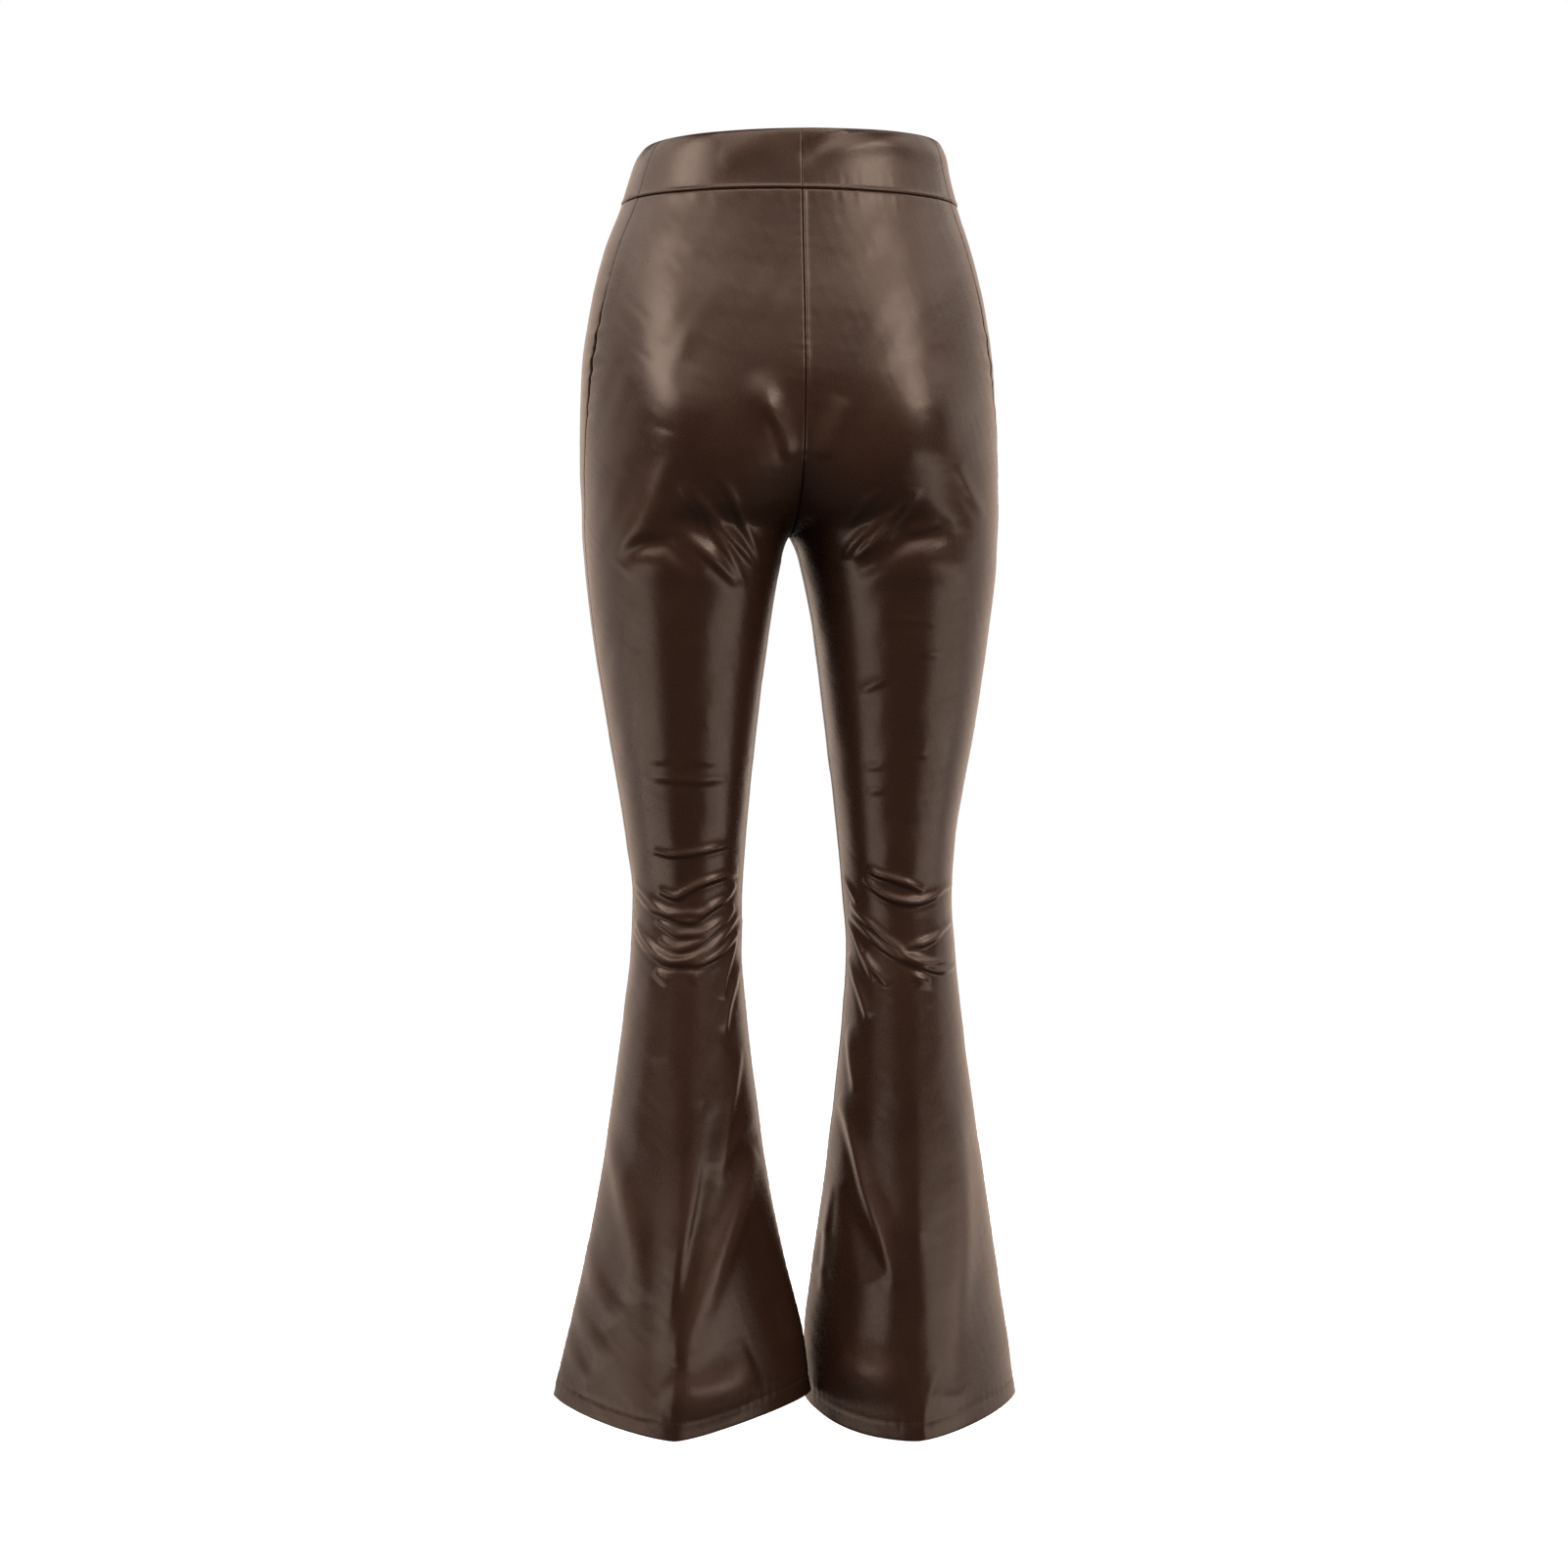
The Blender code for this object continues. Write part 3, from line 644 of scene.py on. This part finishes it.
def hem_turn():
    """The rows round the hem's edge and up inside: each one's drop and its depth."""
    turn = np.radians(np.arange(22.5, 181.0, 22.5))
    drop = HEM - TURN + TURN * np.sin(turn)
    depth = TURN - TURN * np.cos(turn)
    up = np.linspace(HEM - TURN, HEM - TURN_UP, 9)[1:]
    return np.concatenate((drop, up)), np.concatenate((depth, np.full(len(up), 2.0 * TURN)))


def spread(ruler, count):
    """Where each column lies along a row: close together at both edges, then even."""
    length = ruler[:, -1:]
    near = EDGE_DISTANCES
    inner = np.linspace(0.0, 1.0, count + 1 - 2 * len(near) + 2)[1:-1]
    middle = near[-1] + inner * (length - 2.0 * near[-1])
    near = np.tile(near, (len(length), 1))
    return np.concatenate((near, middle, length - near[:, ::-1]), axis=1)


def roll_depths(columns):
    """How deep each column lies where the edges roll in to the seams."""
    depths = np.zeros(columns)
    depths[: len(EDGE_DEPTHS)] = EDGE_DEPTHS
    depths[-len(EDGE_DEPTHS) :] = EDGE_DEPTHS[::-1]
    return depths


def measure(points):
    """The distance along each row of points."""
    steps = np.linalg.norm(np.diff(points, axis=1), axis=2)
    return np.concatenate((np.zeros((len(points), 1)), np.cumsum(steps, axis=1)), axis=1)


def shares_at(ruler, places):
    """The share of the way along each row at which each place is reached."""
    return np.stack([np.interp(place, row, SHARES) for place, row in zip(places, ruler)])


def meet_centre(across, from_centre, drop):
    """Keeps a panel on its own side, and brings its edge up to the centre seam."""
    edge = len(EDGE_ROLL) // 2
    above = 1.0 - smooth_step(CROTCH - 3 * MM, CROTCH + 4 * MM, drop[:, :1])
    open_by = (across[:, edge : edge + 1] - from_centre[:, edge : edge + 1]) * above
    across = across - open_by * np.exp(-((from_centre / CROTCH_BLEND) ** 2))
    back_off = np.maximum(across[:, :edge] - from_centre[:, :edge], 0.0)
    across[:, :edge] = across[:, :edge] - above * back_off
    return np.where(drop < CLEAR_OF_CENTRE_TO, np.maximum(across, EDGE_DISTANCES[0]), across)


def hem_lift(along, above_hem, row_depth):
    """The puckers over the hem's seam, and the groove that its thread pulls."""
    from_stitch = np.abs(above_hem - HEM_STITCH)
    groove = GROOVE_DEPTH * np.exp(-((from_stitch / GROOVE_WIDTH) ** 2))
    outer_layer = 1.0 - smooth_step(0.0, TURN, row_depth)
    return outer_layer * (wave("hem", from_stitch, along) - groove)


def pressed_ridge(from_centre, drop):
    """The seam allowance that shows through the cloth beside the centre seam."""
    ridge = np.exp(-(((from_centre - PRESSED_AT) / PRESSED_WIDTH) ** 2))
    return PRESSED * ridge * (1.0 - smooth_step(PRESSED_FADES, PRESSED_ENDS, drop))


def seam_lift(bare, drop, from_centre, from_side, gape):
    """The puckers along the seams and the lips of the pocket's mouth."""
    lips = (gape / (MOUTH_GAPE / 2.0)) ** 0.5 * wave("pocket mouth", from_side, drop)
    gathers = wave("waist seam", drop - BAND_DEPTH, bare[..., 0] + bare[..., 1])
    puckers = wave("centre seam", from_centre, drop) + wave("side seam", from_side, drop)
    return puckers + lips + gathers


def panel_points(leg, face):
    """The points of one cut piece of a leg, its flat places and the height of its folds."""
    centre, side, row_depth = row_drops()
    sign = 1.0 if face == "back" else -1.0

    def place(share):
        drop = centre + (side - centre) * smooth_step(0.0, 1.0, share)
        inseam = sign * centre_angle(leg, drop)
        seam = angle_at_depth(leg, side_seam(leg, drop), drop)
        return inseam + (seam - inseam) * share, drop

    ruler = measure(bare_cloth(leg, *place(SHARES[None, :])))
    gape = mouth(side)
    cut = ruler.copy()
    cut[:, -1:] = ruler[:, -1:] - gape
    along = spread(cut, COLUMNS[face])
    angle, drop = place(shares_at(ruler, along))
    bare = bare_cloth(leg, angle, drop)
    broad, sharp = folded(bare)

    above_hem = HEM - drop
    lift = broad + sharp + softness(bare) + hem_lift(along, above_hem, row_depth)
    lift = lift + seam_lift(bare, drop, along, cut[:, -1:] - along, gape)
    if (leg, face) == PRESSED_TO:
        lift = lift + pressed_ridge(along, drop)
    roll = HEM_ROLL + (1.0 - HEM_ROLL) * smooth_step(HEM_ROLL_FROM, HEM_ROLL_TO, above_hem)
    roll = roll * (1.0 - (1.0 - HEM_ROLL) * smooth_step(0.0, 2.0 * TURN, row_depth))
    depth = row_depth + roll * roll_depths(along.shape[1])
    points = bare + (lift - depth)[..., None] * outward(leg, angle, drop)
    points[..., 0] = SIDE[leg] * meet_centre(SIDE[leg] * points[..., 0], along, drop)
    return points, along, drop, sharp


def band_points(leg, face):
    """The waistband of one side of one leg, from the centre to the side seam."""
    drop, out = (np.array(values)[:, None] * MM for values in zip(*BAND_SECTION))
    sign = 1.0 if face == "back" else -1.0
    centre = sign * centre_angle(leg, drop)
    seam = angle_at_depth(leg, side_seam(leg, drop), drop)
    ruler = measure(bare_cloth(leg, centre + (seam - centre) * SHARES[None, :], drop))
    along = spread(ruler, BAND_COLUMNS)
    angle = centre + (seam - centre) * shares_at(ruler, along)
    drop = drop + 0.0 * angle
    bare = bare_cloth(leg, angle, drop)
    broad, sharp = folded(bare)

    roll = BAND_ROLL * roll_depths(along.shape[1])
    if face == "front":
        # The front band has no seam at its centre, so no edge rolls in there.
        roll[: len(EDGE_DEPTHS)] = 0.0
    outer_layer = smooth_step(BAND_OUTER_FROM, BAND_OUTER_TO, out)
    patches = wobble(bare[..., 0], 74 * MM, 1.4) * wobble(drop, 66 * MM, 0.9)
    tug = wobble(bare[..., 0] + bare[..., 1], 11 * MM, 2.2) * smooth_step(TUG_FROM, TUG_TO, drop)
    lift = broad + BAND_PATCHES * patches + out + outer_layer * (sharp + BAND_TUG * tug - roll)
    points = bare + lift[..., None] * outward(leg, angle, drop)
    points[..., 2] -= BAND_LEAN * (1.0 - drop / BAND_DEPTH) * points[..., 0] / HALF_WAIST
    if face == "back":
        across = np.maximum(SIDE[leg] * points[..., 0], EDGE_DISTANCES[0])
        points[..., 0] = SIDE[leg] * across
    return points, along, drop, 0.0 * drop


def cloth_piece(name, made, materials):
    """One piece of cloth: a grid laid on the given points."""
    points, along, drop, crest = made
    rows, columns = points.shape[0] - 1, points.shape[1] - 1
    bpy.ops.object.select_all(action="DESELECT")
    bpy.ops.mesh.primitive_grid_add(x_subdivisions=columns, y_subdivisions=rows, size=1.0)
    piece = bpy.context.active_object
    piece.name = piece.data.name = name
    mesh = piece.data
    corners = np.empty(len(mesh.vertices) * 3)
    mesh.vertices.foreach_get("co", corners)
    corners = corners.reshape(-1, 3)
    column = np.rint((corners[:, 0] + 0.5) * columns).astype(int)
    row = np.rint((0.5 - corners[:, 1]) * rows).astype(int)
    mesh.vertices.foreach_set("co", points[row, column].ravel())
    lay_flat(mesh, along[row, column], drop[row, column])
    mesh.attributes.new("crest", "FLOAT", "POINT").data.foreach_set("value", crest[row, column])
    for material in materials:
        mesh.materials.append(material)
    mesh.shade_smooth()
    mesh.update()
    return piece


def lay_flat(mesh, along, drop):
    """Sets the UV map to the cloth's own width and length, in metres."""
    corner = np.empty(len(mesh.loops), dtype=int)
    mesh.loops.foreach_get("vertex_index", corner)
    flat = np.stack((along[corner], -drop[corner]), axis=1)
    mesh.uv_layers.active.data.foreach_set("uv", flat.ravel())


def face_out(piece, made, leg):
    """Turns the faces outwards, away from the line that the cloth goes round."""
    rows, columns = made[0].shape[0] - 1, made[0].shape[1] - 1
    face = piece.data.polygons[(rows - 1 - OUTER_ROW) * columns + columns // 2]
    middle = Vector((HALF_WAIST / 2.0 * SIDE.get(leg, 0), 0.0, face.center.z))
    if face.normal.dot(face.center - middle) < 0.0:
        piece.data.flip_normals()


def thicken(piece, thickness):
    """Gives a piece its thickness on the inside, with its second material there."""
    solidify = piece.modifiers.new("thickness", "SOLIDIFY")
    solidify.thickness = thickness
    solidify.offset = -1.0
    solidify.material_offset = 1
    solidify.material_offset_rim = 1
    bpy.ops.object.select_all(action="DESELECT")
    piece.select_set(True)
    bpy.context.view_layer.objects.active = piece
    bpy.ops.object.modifier_apply(modifier=solidify.name)


def cut_piece(node, made, leg, materials, thickness=CLOTH):
    """One cut piece of cloth, which stands for its solid."""
    piece = cloth_piece(f"{node}_cloth", made, materials)
    face_out(piece, made, leg)
    thicken(piece, thickness)
    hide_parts(node)
    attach(piece, "root")
    return piece


def front_band_points():
    """The waistband's front piece, in one length from side seam to side seam."""
    left, right = band_points("left", "front"), band_points("right", "front")
    made = [
        np.concatenate((a[:, :0:-1], (a[:, :1] + b[:, :1]) / 2.0, b[:, 1:]), axis=1)
        for a, b in zip(left, right)
    ]
    made[1] = np.concatenate((-left[1][:, :0:-1], 0.0 * left[1][:, :1], right[1][:, 1:]), axis=1)
    return made


def pocket_points(leg):
    """The pocket's cloth, which lies inside the front and shows in the mouth."""
    down = np.linspace(0.0, 1.0, POCKET_ROWS + 1)[:, None]
    across = np.linspace(0.0, 1.0, POCKET_COLUMNS + 1)[None, :]
    drop = POCKET_TOP + (POCKET_END - POCKET_TOP) * down
    seam = angle_at_depth(leg, side_seam(leg, drop), drop)
    curve = np.maximum(down - POCKET_STRAIGHT, 0.0) / (1.0 - POCKET_STRAIGHT)
    reach = POCKET_REACH * (1.0 - POCKET_TAPER * curve**2)
    angle = seam + POCKET_TUCK - (POCKET_TUCK + reach) * across
    drop = drop + 0.0 * across
    bare = bare_cloth(leg, angle, drop)
    broad, sharp = folded(bare)
    lift = broad + sharp + softness(bare) - POCKET_INSET
    points = bare + lift[..., None] * outward(leg, angle, drop)
    return points, measure(bare), drop, 0.0 * drop


def one_stitch():
    """One stitch of thread, lying along X."""
    bpy.ops.object.select_all(action="DESELECT")
    bpy.ops.mesh.primitive_cylinder_add(
        vertices=6, radius=STITCH_THICK / 2.0, depth=STITCH_LONG, end_fill_type="TRIFAN"
    )
    stitch = bpy.context.active_object
    bpy.ops.object.mode_set(mode="EDIT")
    bpy.ops.mesh.select_all(action="SELECT")
    bpy.ops.transform.rotate(value=np.pi / 2.0, orient_axis="Y", center_override=(0.0, 0.0, 0.0))
    for share in (-0.25, 0.25):
        bpy.ops.mesh.select_all(action="SELECT")
        bpy.ops.mesh.bisect(plane_co=(share * STITCH_LONG, 0.0, 0.0), plane_no=(1.0, 0.0, 0.0))
    bpy.ops.object.mode_set(mode="OBJECT")
    for corner in stitch.data.vertices:
        share = abs(corner.co.x) / (STITCH_LONG / 2.0)
        if share > 0.9:
            corner.co.y *= STITCH_TIP
            corner.co.z = STITCH_TIP * corner.co.z - STITCH_DIP * STITCH_THICK
    return stitch


def hem_stitches(leg, panels, thread):
    """The row of thread that holds the hem's turn-up, all round one leg."""
    stitch = one_stitch()
    model = stitch.data
    row = bmesh.new()
    for face in ("back", "front"):
        line, normals = hem_line(panels[face], face)
        ruler = measure(line[None])[0]
        count = int(ruler[-1] // STITCH_STEP)
        for n in range(count):
            place = (n + 0.5) * ruler[-1] / count
            at, ahead, out = (
                np.array([np.interp(place + gap, ruler, values[:, axis]) for axis in range(3)])
                for values, gap in ((line, 0.0), (line, 0.2 * STITCH_LONG), (normals, 0.0))
            )
            along = unit(ahead - at)
            out = unit(out - along * (out @ along))
            turned = Matrix(np.stack((along, np.cross(out, along), out), axis=1)).to_4x4()
            turned.translation = Vector(at + out * STITCH_PROUD)
            copy = model.copy()
            copy.transform(turned)
            row.from_mesh(copy)
            bpy.data.meshes.remove(copy)
    mesh = bpy.data.meshes.new(f"hem_stitches_{leg}")
    row.to_mesh(mesh)
    row.free()
    mesh.materials.append(thread)
    mesh.shade_smooth()
    piece = bpy.data.objects.new(f"hem_stitches_{leg}", mesh)
    bpy.context.scene.collection.objects.link(piece)
    bpy.data.objects.remove(stitch, do_unlink=True)
    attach(piece, "root")
    return piece


def hem_line(made, face):
    """Points along the hem's seam, read from the cloth that it is sewn to."""
    points, _, drop, _ = made
    outer = drop[: -len(hem_turn()[0]), drop.shape[1] // 2]
    row = int(np.argmin(np.abs(outer - (HEM - HEM_STITCH))))
    line = points[row, 4:-4]
    up = points[row - 2, 4:-4] - points[row + 2, 4:-4]
    normals = unit(np.cross(np.gradient(line, axis=0), up))
    if normals[len(normals) // 2, 1] * (1.0 if face == "back" else -1.0) < 0.0:
        normals = -normals
    return line, normals


# ---------------------------------------------------------------------------- materials


def put(tree, node, name, value):
    """Sets a node's input to a constant, or links it to another node's output."""
    socket = node.inputs[int(name) if name.isdigit() else name.replace("_", " ")]
    if isinstance(value, bpy.types.NodeSocket):
        tree.links.new(value, socket)
    else:
        socket.default_value = value


def add(tree, kind, **settings):
    """A shader node with its settings. A key that starts with in_ is one of its inputs."""
    node = tree.nodes.new(kind)
    for key, value in settings.items():
        if key.startswith("in_"):
            put(tree, node, key[3:], value)
        else:
            setattr(node, key, value)
    return node


def new_group(name, inputs, outputs):
    """An empty shader node group with its named sockets: its tree, start and end."""
    group = bpy.data.node_groups.new(name, "ShaderNodeTree")
    for label, value in inputs.items():
        kind = "NodeSocketVector" if value is None else "NodeSocketFloat"
        socket = group.interface.new_socket(label, in_out="INPUT", socket_type=kind)
        if value is not None:
            socket.default_value = value
    for label in outputs:
        group.interface.new_socket(label, in_out="OUTPUT", socket_type="NodeSocketFloat")
    start, end = group.nodes.new("NodeGroupInput"), group.nodes.new("NodeGroupOutput")
    return group, start.outputs, end


def in_range(tree, value, low, high, to_low=0.0, to_high=1.0):
    """A value moved from one range to another and kept inside it."""
    limits = {"in_From_Min": low, "in_From_Max": high, "in_To_Min": to_low, "in_To_Max": to_high}
    return add(tree, "ShaderNodeMapRange", in_Value=value, **limits).outputs["Result"]


def mix_colours(tree, amount, first, second):
    """A mix of two colours by a mask. Either colour may be another node's output."""
    mix = add(tree, "ShaderNodeMix", data_type="RGBA", in_Factor=amount)
    for socket, value in (("6", first), ("7", second)):
        is_output = isinstance(value, bpy.types.NodeSocket)
        put(tree, mix, socket, value if is_output else (*value, 1.0))
    return mix.outputs[2]


def bumped(tree, height, strength, distance):
    """The normal of a surface that is raised by a height."""
    bump = add(
        tree, "ShaderNodeBump", in_Height=height, in_Strength=strength, in_Distance=distance
    )
    return bump.outputs["Normal"]


def leather_grain():
    """Pebbled grain: small raised cells with fine valleys, broken up by pores."""
    sizes = {"Vector": None, "Cells per Metre": 1500.0, "Unevenness": 0.5}
    group, start, end = new_group("pebbled grain", sizes, ("Height", "Valley"))
    place = start["Vector"]
    warp = add(group, "ShaderNodeTexNoise", in_Vector=place, in_Scale=420.0, in_Detail=2.0)
    shift = add(group, "ShaderNodeVectorMath", operation="MULTIPLY_ADD")
    for socket, value in (("0", warp.outputs["Color"]), ("1", GRAIN_WARP), ("2", place)):
        put(group, shift, socket, value)
    cells = add(
        group,
        "ShaderNodeTexVoronoi",
        feature="DISTANCE_TO_EDGE",
        in_Vector=shift.outputs["Vector"],
        in_Scale=start["Cells per Metre"],
    )
    valley = in_range(group, cells.outputs["Distance"], 0.0, 0.22, 1.0, 0.0)
    pores = add(group, "ShaderNodeTexNoise", in_Vector=place, in_Scale=5200.0, in_Detail=3.0)
    lumps = add(group, "ShaderNodeMath", operation="MULTIPLY", in_0=pores.outputs["Fac"])
    put(group, lumps, "1", start["Unevenness"])
    height = add(group, "ShaderNodeMath", operation="SUBTRACT", in_0=lumps.outputs["Value"])
    put(group, height, "1", valley)
    put(group, end, "Height", height.outputs["Value"])
    put(group, end, "Valley", valley)
    return group


def cloth_mottle():
    """Slow, soft differences over the cloth, and finer ones within them."""
    sizes = {"Vector": None, "Patches per Metre": 18.0}
    group, start, end = new_group("cloth mottle", sizes, ("Patches", "Specks"))
    slow = add(group, "ShaderNodeTexNoise", in_Vector=start["Vector"], in_Detail=4.0)
    put(group, slow, "Roughness", 0.55)
    put(group, slow, "Scale", start["Patches per Metre"])
    fine = add(
        group, "ShaderNodeTexNoise", in_Vector=start["Vector"], in_Scale=900.0, in_Detail=2.0
    )
    put(group, end, "Patches", slow.outputs["Fac"])
    put(group, end, "Specks", fine.outputs["Fac"])
    return group


def thread_weave():
    """Crossed threads that follow the cloth's own width and length."""
    sizes = {"Flat Place": None, "Threads per Metre": 1100.0, "Slant": 0.0}
    group, start, end = new_group("thread weave", sizes, ("Height",))
    turn = add(group, "ShaderNodeVectorRotate", rotation_type="Z_AXIS")
    put(group, turn, "Vector", start["Flat Place"])
    put(group, turn, "Angle", start["Slant"])
    scale = add(group, "ShaderNodeMath", operation="MULTIPLY", in_0=start["Threads per Metre"])
    put(group, scale, "1", WAVE_PER_THREAD)
    cross = add(group, "ShaderNodeMath", operation="MAXIMUM")
    for socket, direction in (("0", "X"), ("1", "Y")):
        threads = add(
            group,
            "ShaderNodeTexWave",
            bands_direction=direction,
            in_Distortion=0.6,
            in_Vector=turn.outputs["Vector"],
            in_Scale=scale.outputs["Value"],
        )
        put(group, cross, socket, threads.outputs["Fac"])
    put(group, end, "Height", cross.outputs["Value"])
    return group


def new_material(name):
    """A material with its tree and its shader."""
    material = bpy.data.materials.new(name)
    material.use_nodes = True
    tree = material.node_tree
    return material, tree, tree.nodes["Principled BSDF"]


def placed(tree, group, **values):
    """A group's outputs, with its inputs set to values of this material's own."""
    inputs = {f"in_{name}": value for name, value in values.items()}
    return add(tree, "ShaderNodeGroup", node_tree=group, **inputs).outputs


def faux_leather(grain, mottle):
    """Dark brown coated cloth: pebbled and softly glossy, with a painted highlight on its fold
    crests and painted shade in its grain's valleys.
    """
    material, tree, shader = new_material("faux_leather")
    where = tree.nodes.new("ShaderNodeTexCoord").outputs["Object"]
    pebbles = placed(tree, grain, Vector=where, Cells_per_Metre=1500.0, Unevenness=0.5)
    mottled = placed(tree, mottle, Vector=where, Patches_per_Metre=16.0)
    crest = add(tree, "ShaderNodeAttribute", attribute_name="crest").outputs["Fac"]
    tone = in_range(tree, mottled["Patches"], *NOISE)
    colour = mix_colours(tree, tone, LEATHER_DARK, LEATHER_LIGHT)
    # Painted highlight: the colour is mixed towards a paler brown where the folds stand highest.
    crest_highlight = in_range(tree, crest, *CREST_HIGHLIGHT_BETWEEN, 0.0, CREST_HIGHLIGHT_MOST)
    colour = mix_colours(tree, crest_highlight, colour, LEATHER_CREST_HIGHLIGHT)
    # Painted shade: the colour is mixed towards a darker brown in the grain's valleys.
    shade = in_range(tree, pebbles["Valley"], 0.0, 1.0, 0.0, VALLEY_SHADE_MOST)
    put(tree, shader, "Base Color", mix_colours(tree, shade, colour, LEATHER_VALLEY_SHADE))
    rough = add(tree, "ShaderNodeMath", operation="ADD")
    put(tree, rough, "0", in_range(tree, mottled["Patches"], *NOISE, *LEATHER_ROUGH))
    put(tree, rough, "1", in_range(tree, mottled["Specks"], *NOISE, *SPECK_ROUGH))
    put(tree, shader, "Roughness", rough.outputs["Value"])
    put(tree, shader, "Normal", bumped(tree, pebbles["Height"], 0.22, 0.06 * MM))
    put(tree, shader, "Specular Tint", (*LEATHER_SHEEN, 1.0))
    put(tree, shader, "Specular IOR Level", LEATHER_GLOSS)
    return material


def woven_cloth(name, weave, mottle, colours, threads, slant, depth):
    """A plain woven or knitted cloth whose threads follow the piece's own map, with painted
    shade between its threads.
    """
    material, tree, shader = new_material(name)
    dark, light = colours
    where = tree.nodes.new("ShaderNodeTexCoord").outputs
    crossed = placed(tree, weave, Flat_Place=where["UV"], Threads_per_Metre=threads, Slant=slant)
    mottled = placed(tree, mottle, Vector=where["Object"], Patches_per_Metre=30.0)
    # Painted shade: the colour darkens where the threads lie low between their crowns.
    tone = in_range(tree, crossed["Height"], 0.2, 1.0)
    worn = in_range(tree, mottled["Patches"], 0.35, 0.7, 0.0, 0.35)
    colour = mix_colours(tree, worn, mix_colours(tree, tone, dark, light), dark)
    put(tree, shader, "Base Color", colour)
    put(tree, shader, "Roughness", in_range(tree, mottled["Specks"], *NOISE, *CLOTH_ROUGH))
    put(tree, shader, "Normal", bumped(tree, crossed["Height"], 0.5, depth))
    put(tree, shader, "Sheen Weight", 0.15)
    return material


def floor_material():
    """A pale, even floor."""
    material, tree, shader = new_material("pale_floor")
    where = tree.nodes.new("ShaderNodeTexCoord").outputs["Object"]
    noise = add(tree, "ShaderNodeTexNoise", in_Vector=where, in_Scale=6.0, in_Detail=3.0)
    rough = in_range(tree, noise.outputs["Fac"], *NOISE, *FLOOR_ROUGH)
    put(tree, shader, "Roughness", rough)
    put(tree, shader, "Base Color", (0.9, 0.9, 0.9, 1.0))
    put(tree, shader, "Specular IOR Level", 0.0)
    put(tree, shader, "Emission Color", (1.0, 1.0, 1.0, 1.0))
    put(tree, shader, "Emission Strength", 1.0)
    return material


# -------------------------------------------------------------------------------- scene


def softbox(name, azimuth, elevation, distance, wide, tall, radiance, colour):
    """A soft light that looks at the middle of the trousers. Azimuth 0 is in front."""
    turn, rise = np.radians((azimuth, elevation))
    aside = np.array((np.sin(turn) * np.cos(rise), -np.cos(turn) * np.cos(rise), np.sin(rise)))
    place = MIDDLE + Vector(aside * distance)
    bpy.ops.object.light_add(type="AREA", location=place)
    lamp = bpy.context.active_object
    lamp.name = lamp.data.name = name
    is_round = name in ROUND_BOXES
    lamp.data.shape = "ELLIPSE" if is_round else "RECTANGLE"
    lamp.data.size, lamp.data.size_y = wide, tall
    area = wide * tall * (np.pi / 4.0 if is_round else 1.0)
    lamp.data.energy = radiance * np.pi * area
    lamp.data.color = colour
    lamp.rotation_mode = "QUATERNION"
    lamp.rotation_quaternion = (MIDDLE - place).to_track_quat("-Z", "Y")
    lamp.visible_camera = False


def light_the_room():
    """The soft lights, and a white studio that the camera alone sees."""
    for name, azimuths, *rest in SOFTBOXES:
        for side, azimuth in zip(SIDE, azimuths):
            softbox(name.format(side), azimuth, *rest)
    world = bpy.data.worlds.new("studio")
    bpy.context.scene.world = world
    world.use_nodes = True
    tree = world.node_tree
    shown = tree.nodes["Background"]
    put(tree, shown, "Color", (1.0, 1.0, 1.0, 1.0))
    put(tree, shown, "Strength", 1.0)
    unseen = add(tree, "ShaderNodeBackground", in_Color=(*ROOM_COLOUR, 1.0), in_Strength=ROOM)
    path = tree.nodes.new("ShaderNodeLightPath")
    mix = add(tree, "ShaderNodeMixShader", in_Fac=path.outputs["Is Camera Ray"])
    put(tree, mix, "1", unseen.outputs["Background"])
    put(tree, mix, "2", shown.outputs["Background"])
    put(tree, tree.nodes["World Output"], "Surface", mix.outputs["Shader"])


def lay_floor():
    bpy.ops.object.select_all(action="DESELECT")
    bpy.ops.mesh.primitive_grid_add(
        x_subdivisions=8, y_subdivisions=8, size=12.0, location=(0.0, 0.0, FLOOR)
    )
    floor = bpy.context.active_object
    floor.name = "floor"
    bpy.ops.object.transform_apply(location=True, rotation=False, scale=False)
    floor.data.materials.append(floor_material())
    floor.visible_glossy = floor.visible_diffuse = floor.visible_shadow = False


def place_camera():
    """The camera looks at the back, a little from the wearer's left."""
    turn = np.radians(CAMERA_TURN)
    right = Vector((-np.cos(turn), np.sin(turn), 0.0))
    place = Vector((np.sin(turn), np.cos(turn), 0.0)) * CAMERA_DISTANCE
    place = place + Vector((0.0, 0.0, CAMERA_HEIGHT)) - right * CAMERA_ASIDE
    bpy.ops.object.camera_add(location=place)
    camera = bpy.context.active_object
    camera.rotation_mode = "QUATERNION"
    ahead = Vector((-np.sin(turn), -np.cos(turn), 0.0))
    camera.rotation_quaternion = ahead.to_track_quat("-Z", "Y")
    camera.data.lens = camera.data.sensor_width * CAMERA_DISTANCE / PICTURE_WIDTH
    bpy.context.scene.camera = camera


def main():
    mottle, weave = cloth_mottle(), thread_weave()
    leather = faux_leather(leather_grain(), mottle)
    backing, lining, thread = (
        woven_cloth(name, weave, mottle, *look) for name, look in CLOTHS.items()
    )
    shell = (leather, backing)
    for leg in SIDE:
        panels = {face: panel_points(leg, face) for face in COLUMNS}
        laid = {f"{face}_{leg}": points for face, points in panels.items()}
        laid[f"waistband_back_{leg}"] = band_points(leg, "back")
        for node, points in laid.items():
            cut_piece(node, points, leg, shell)
        node = f"pocket_{leg}"
        pocket = pocket_points(leg)
        cut_piece(node, pocket, leg, (lining, lining), POCKET_CLOTH)
        hem_stitches(leg, panels, thread)
    node = "waistband_front"
    cut_piece(node, front_band_points(), "centre", shell)
    lay_floor()
    light_the_room()
    place_camera()
    bpy.context.scene.view_settings.view_transform = "Standard"


main()
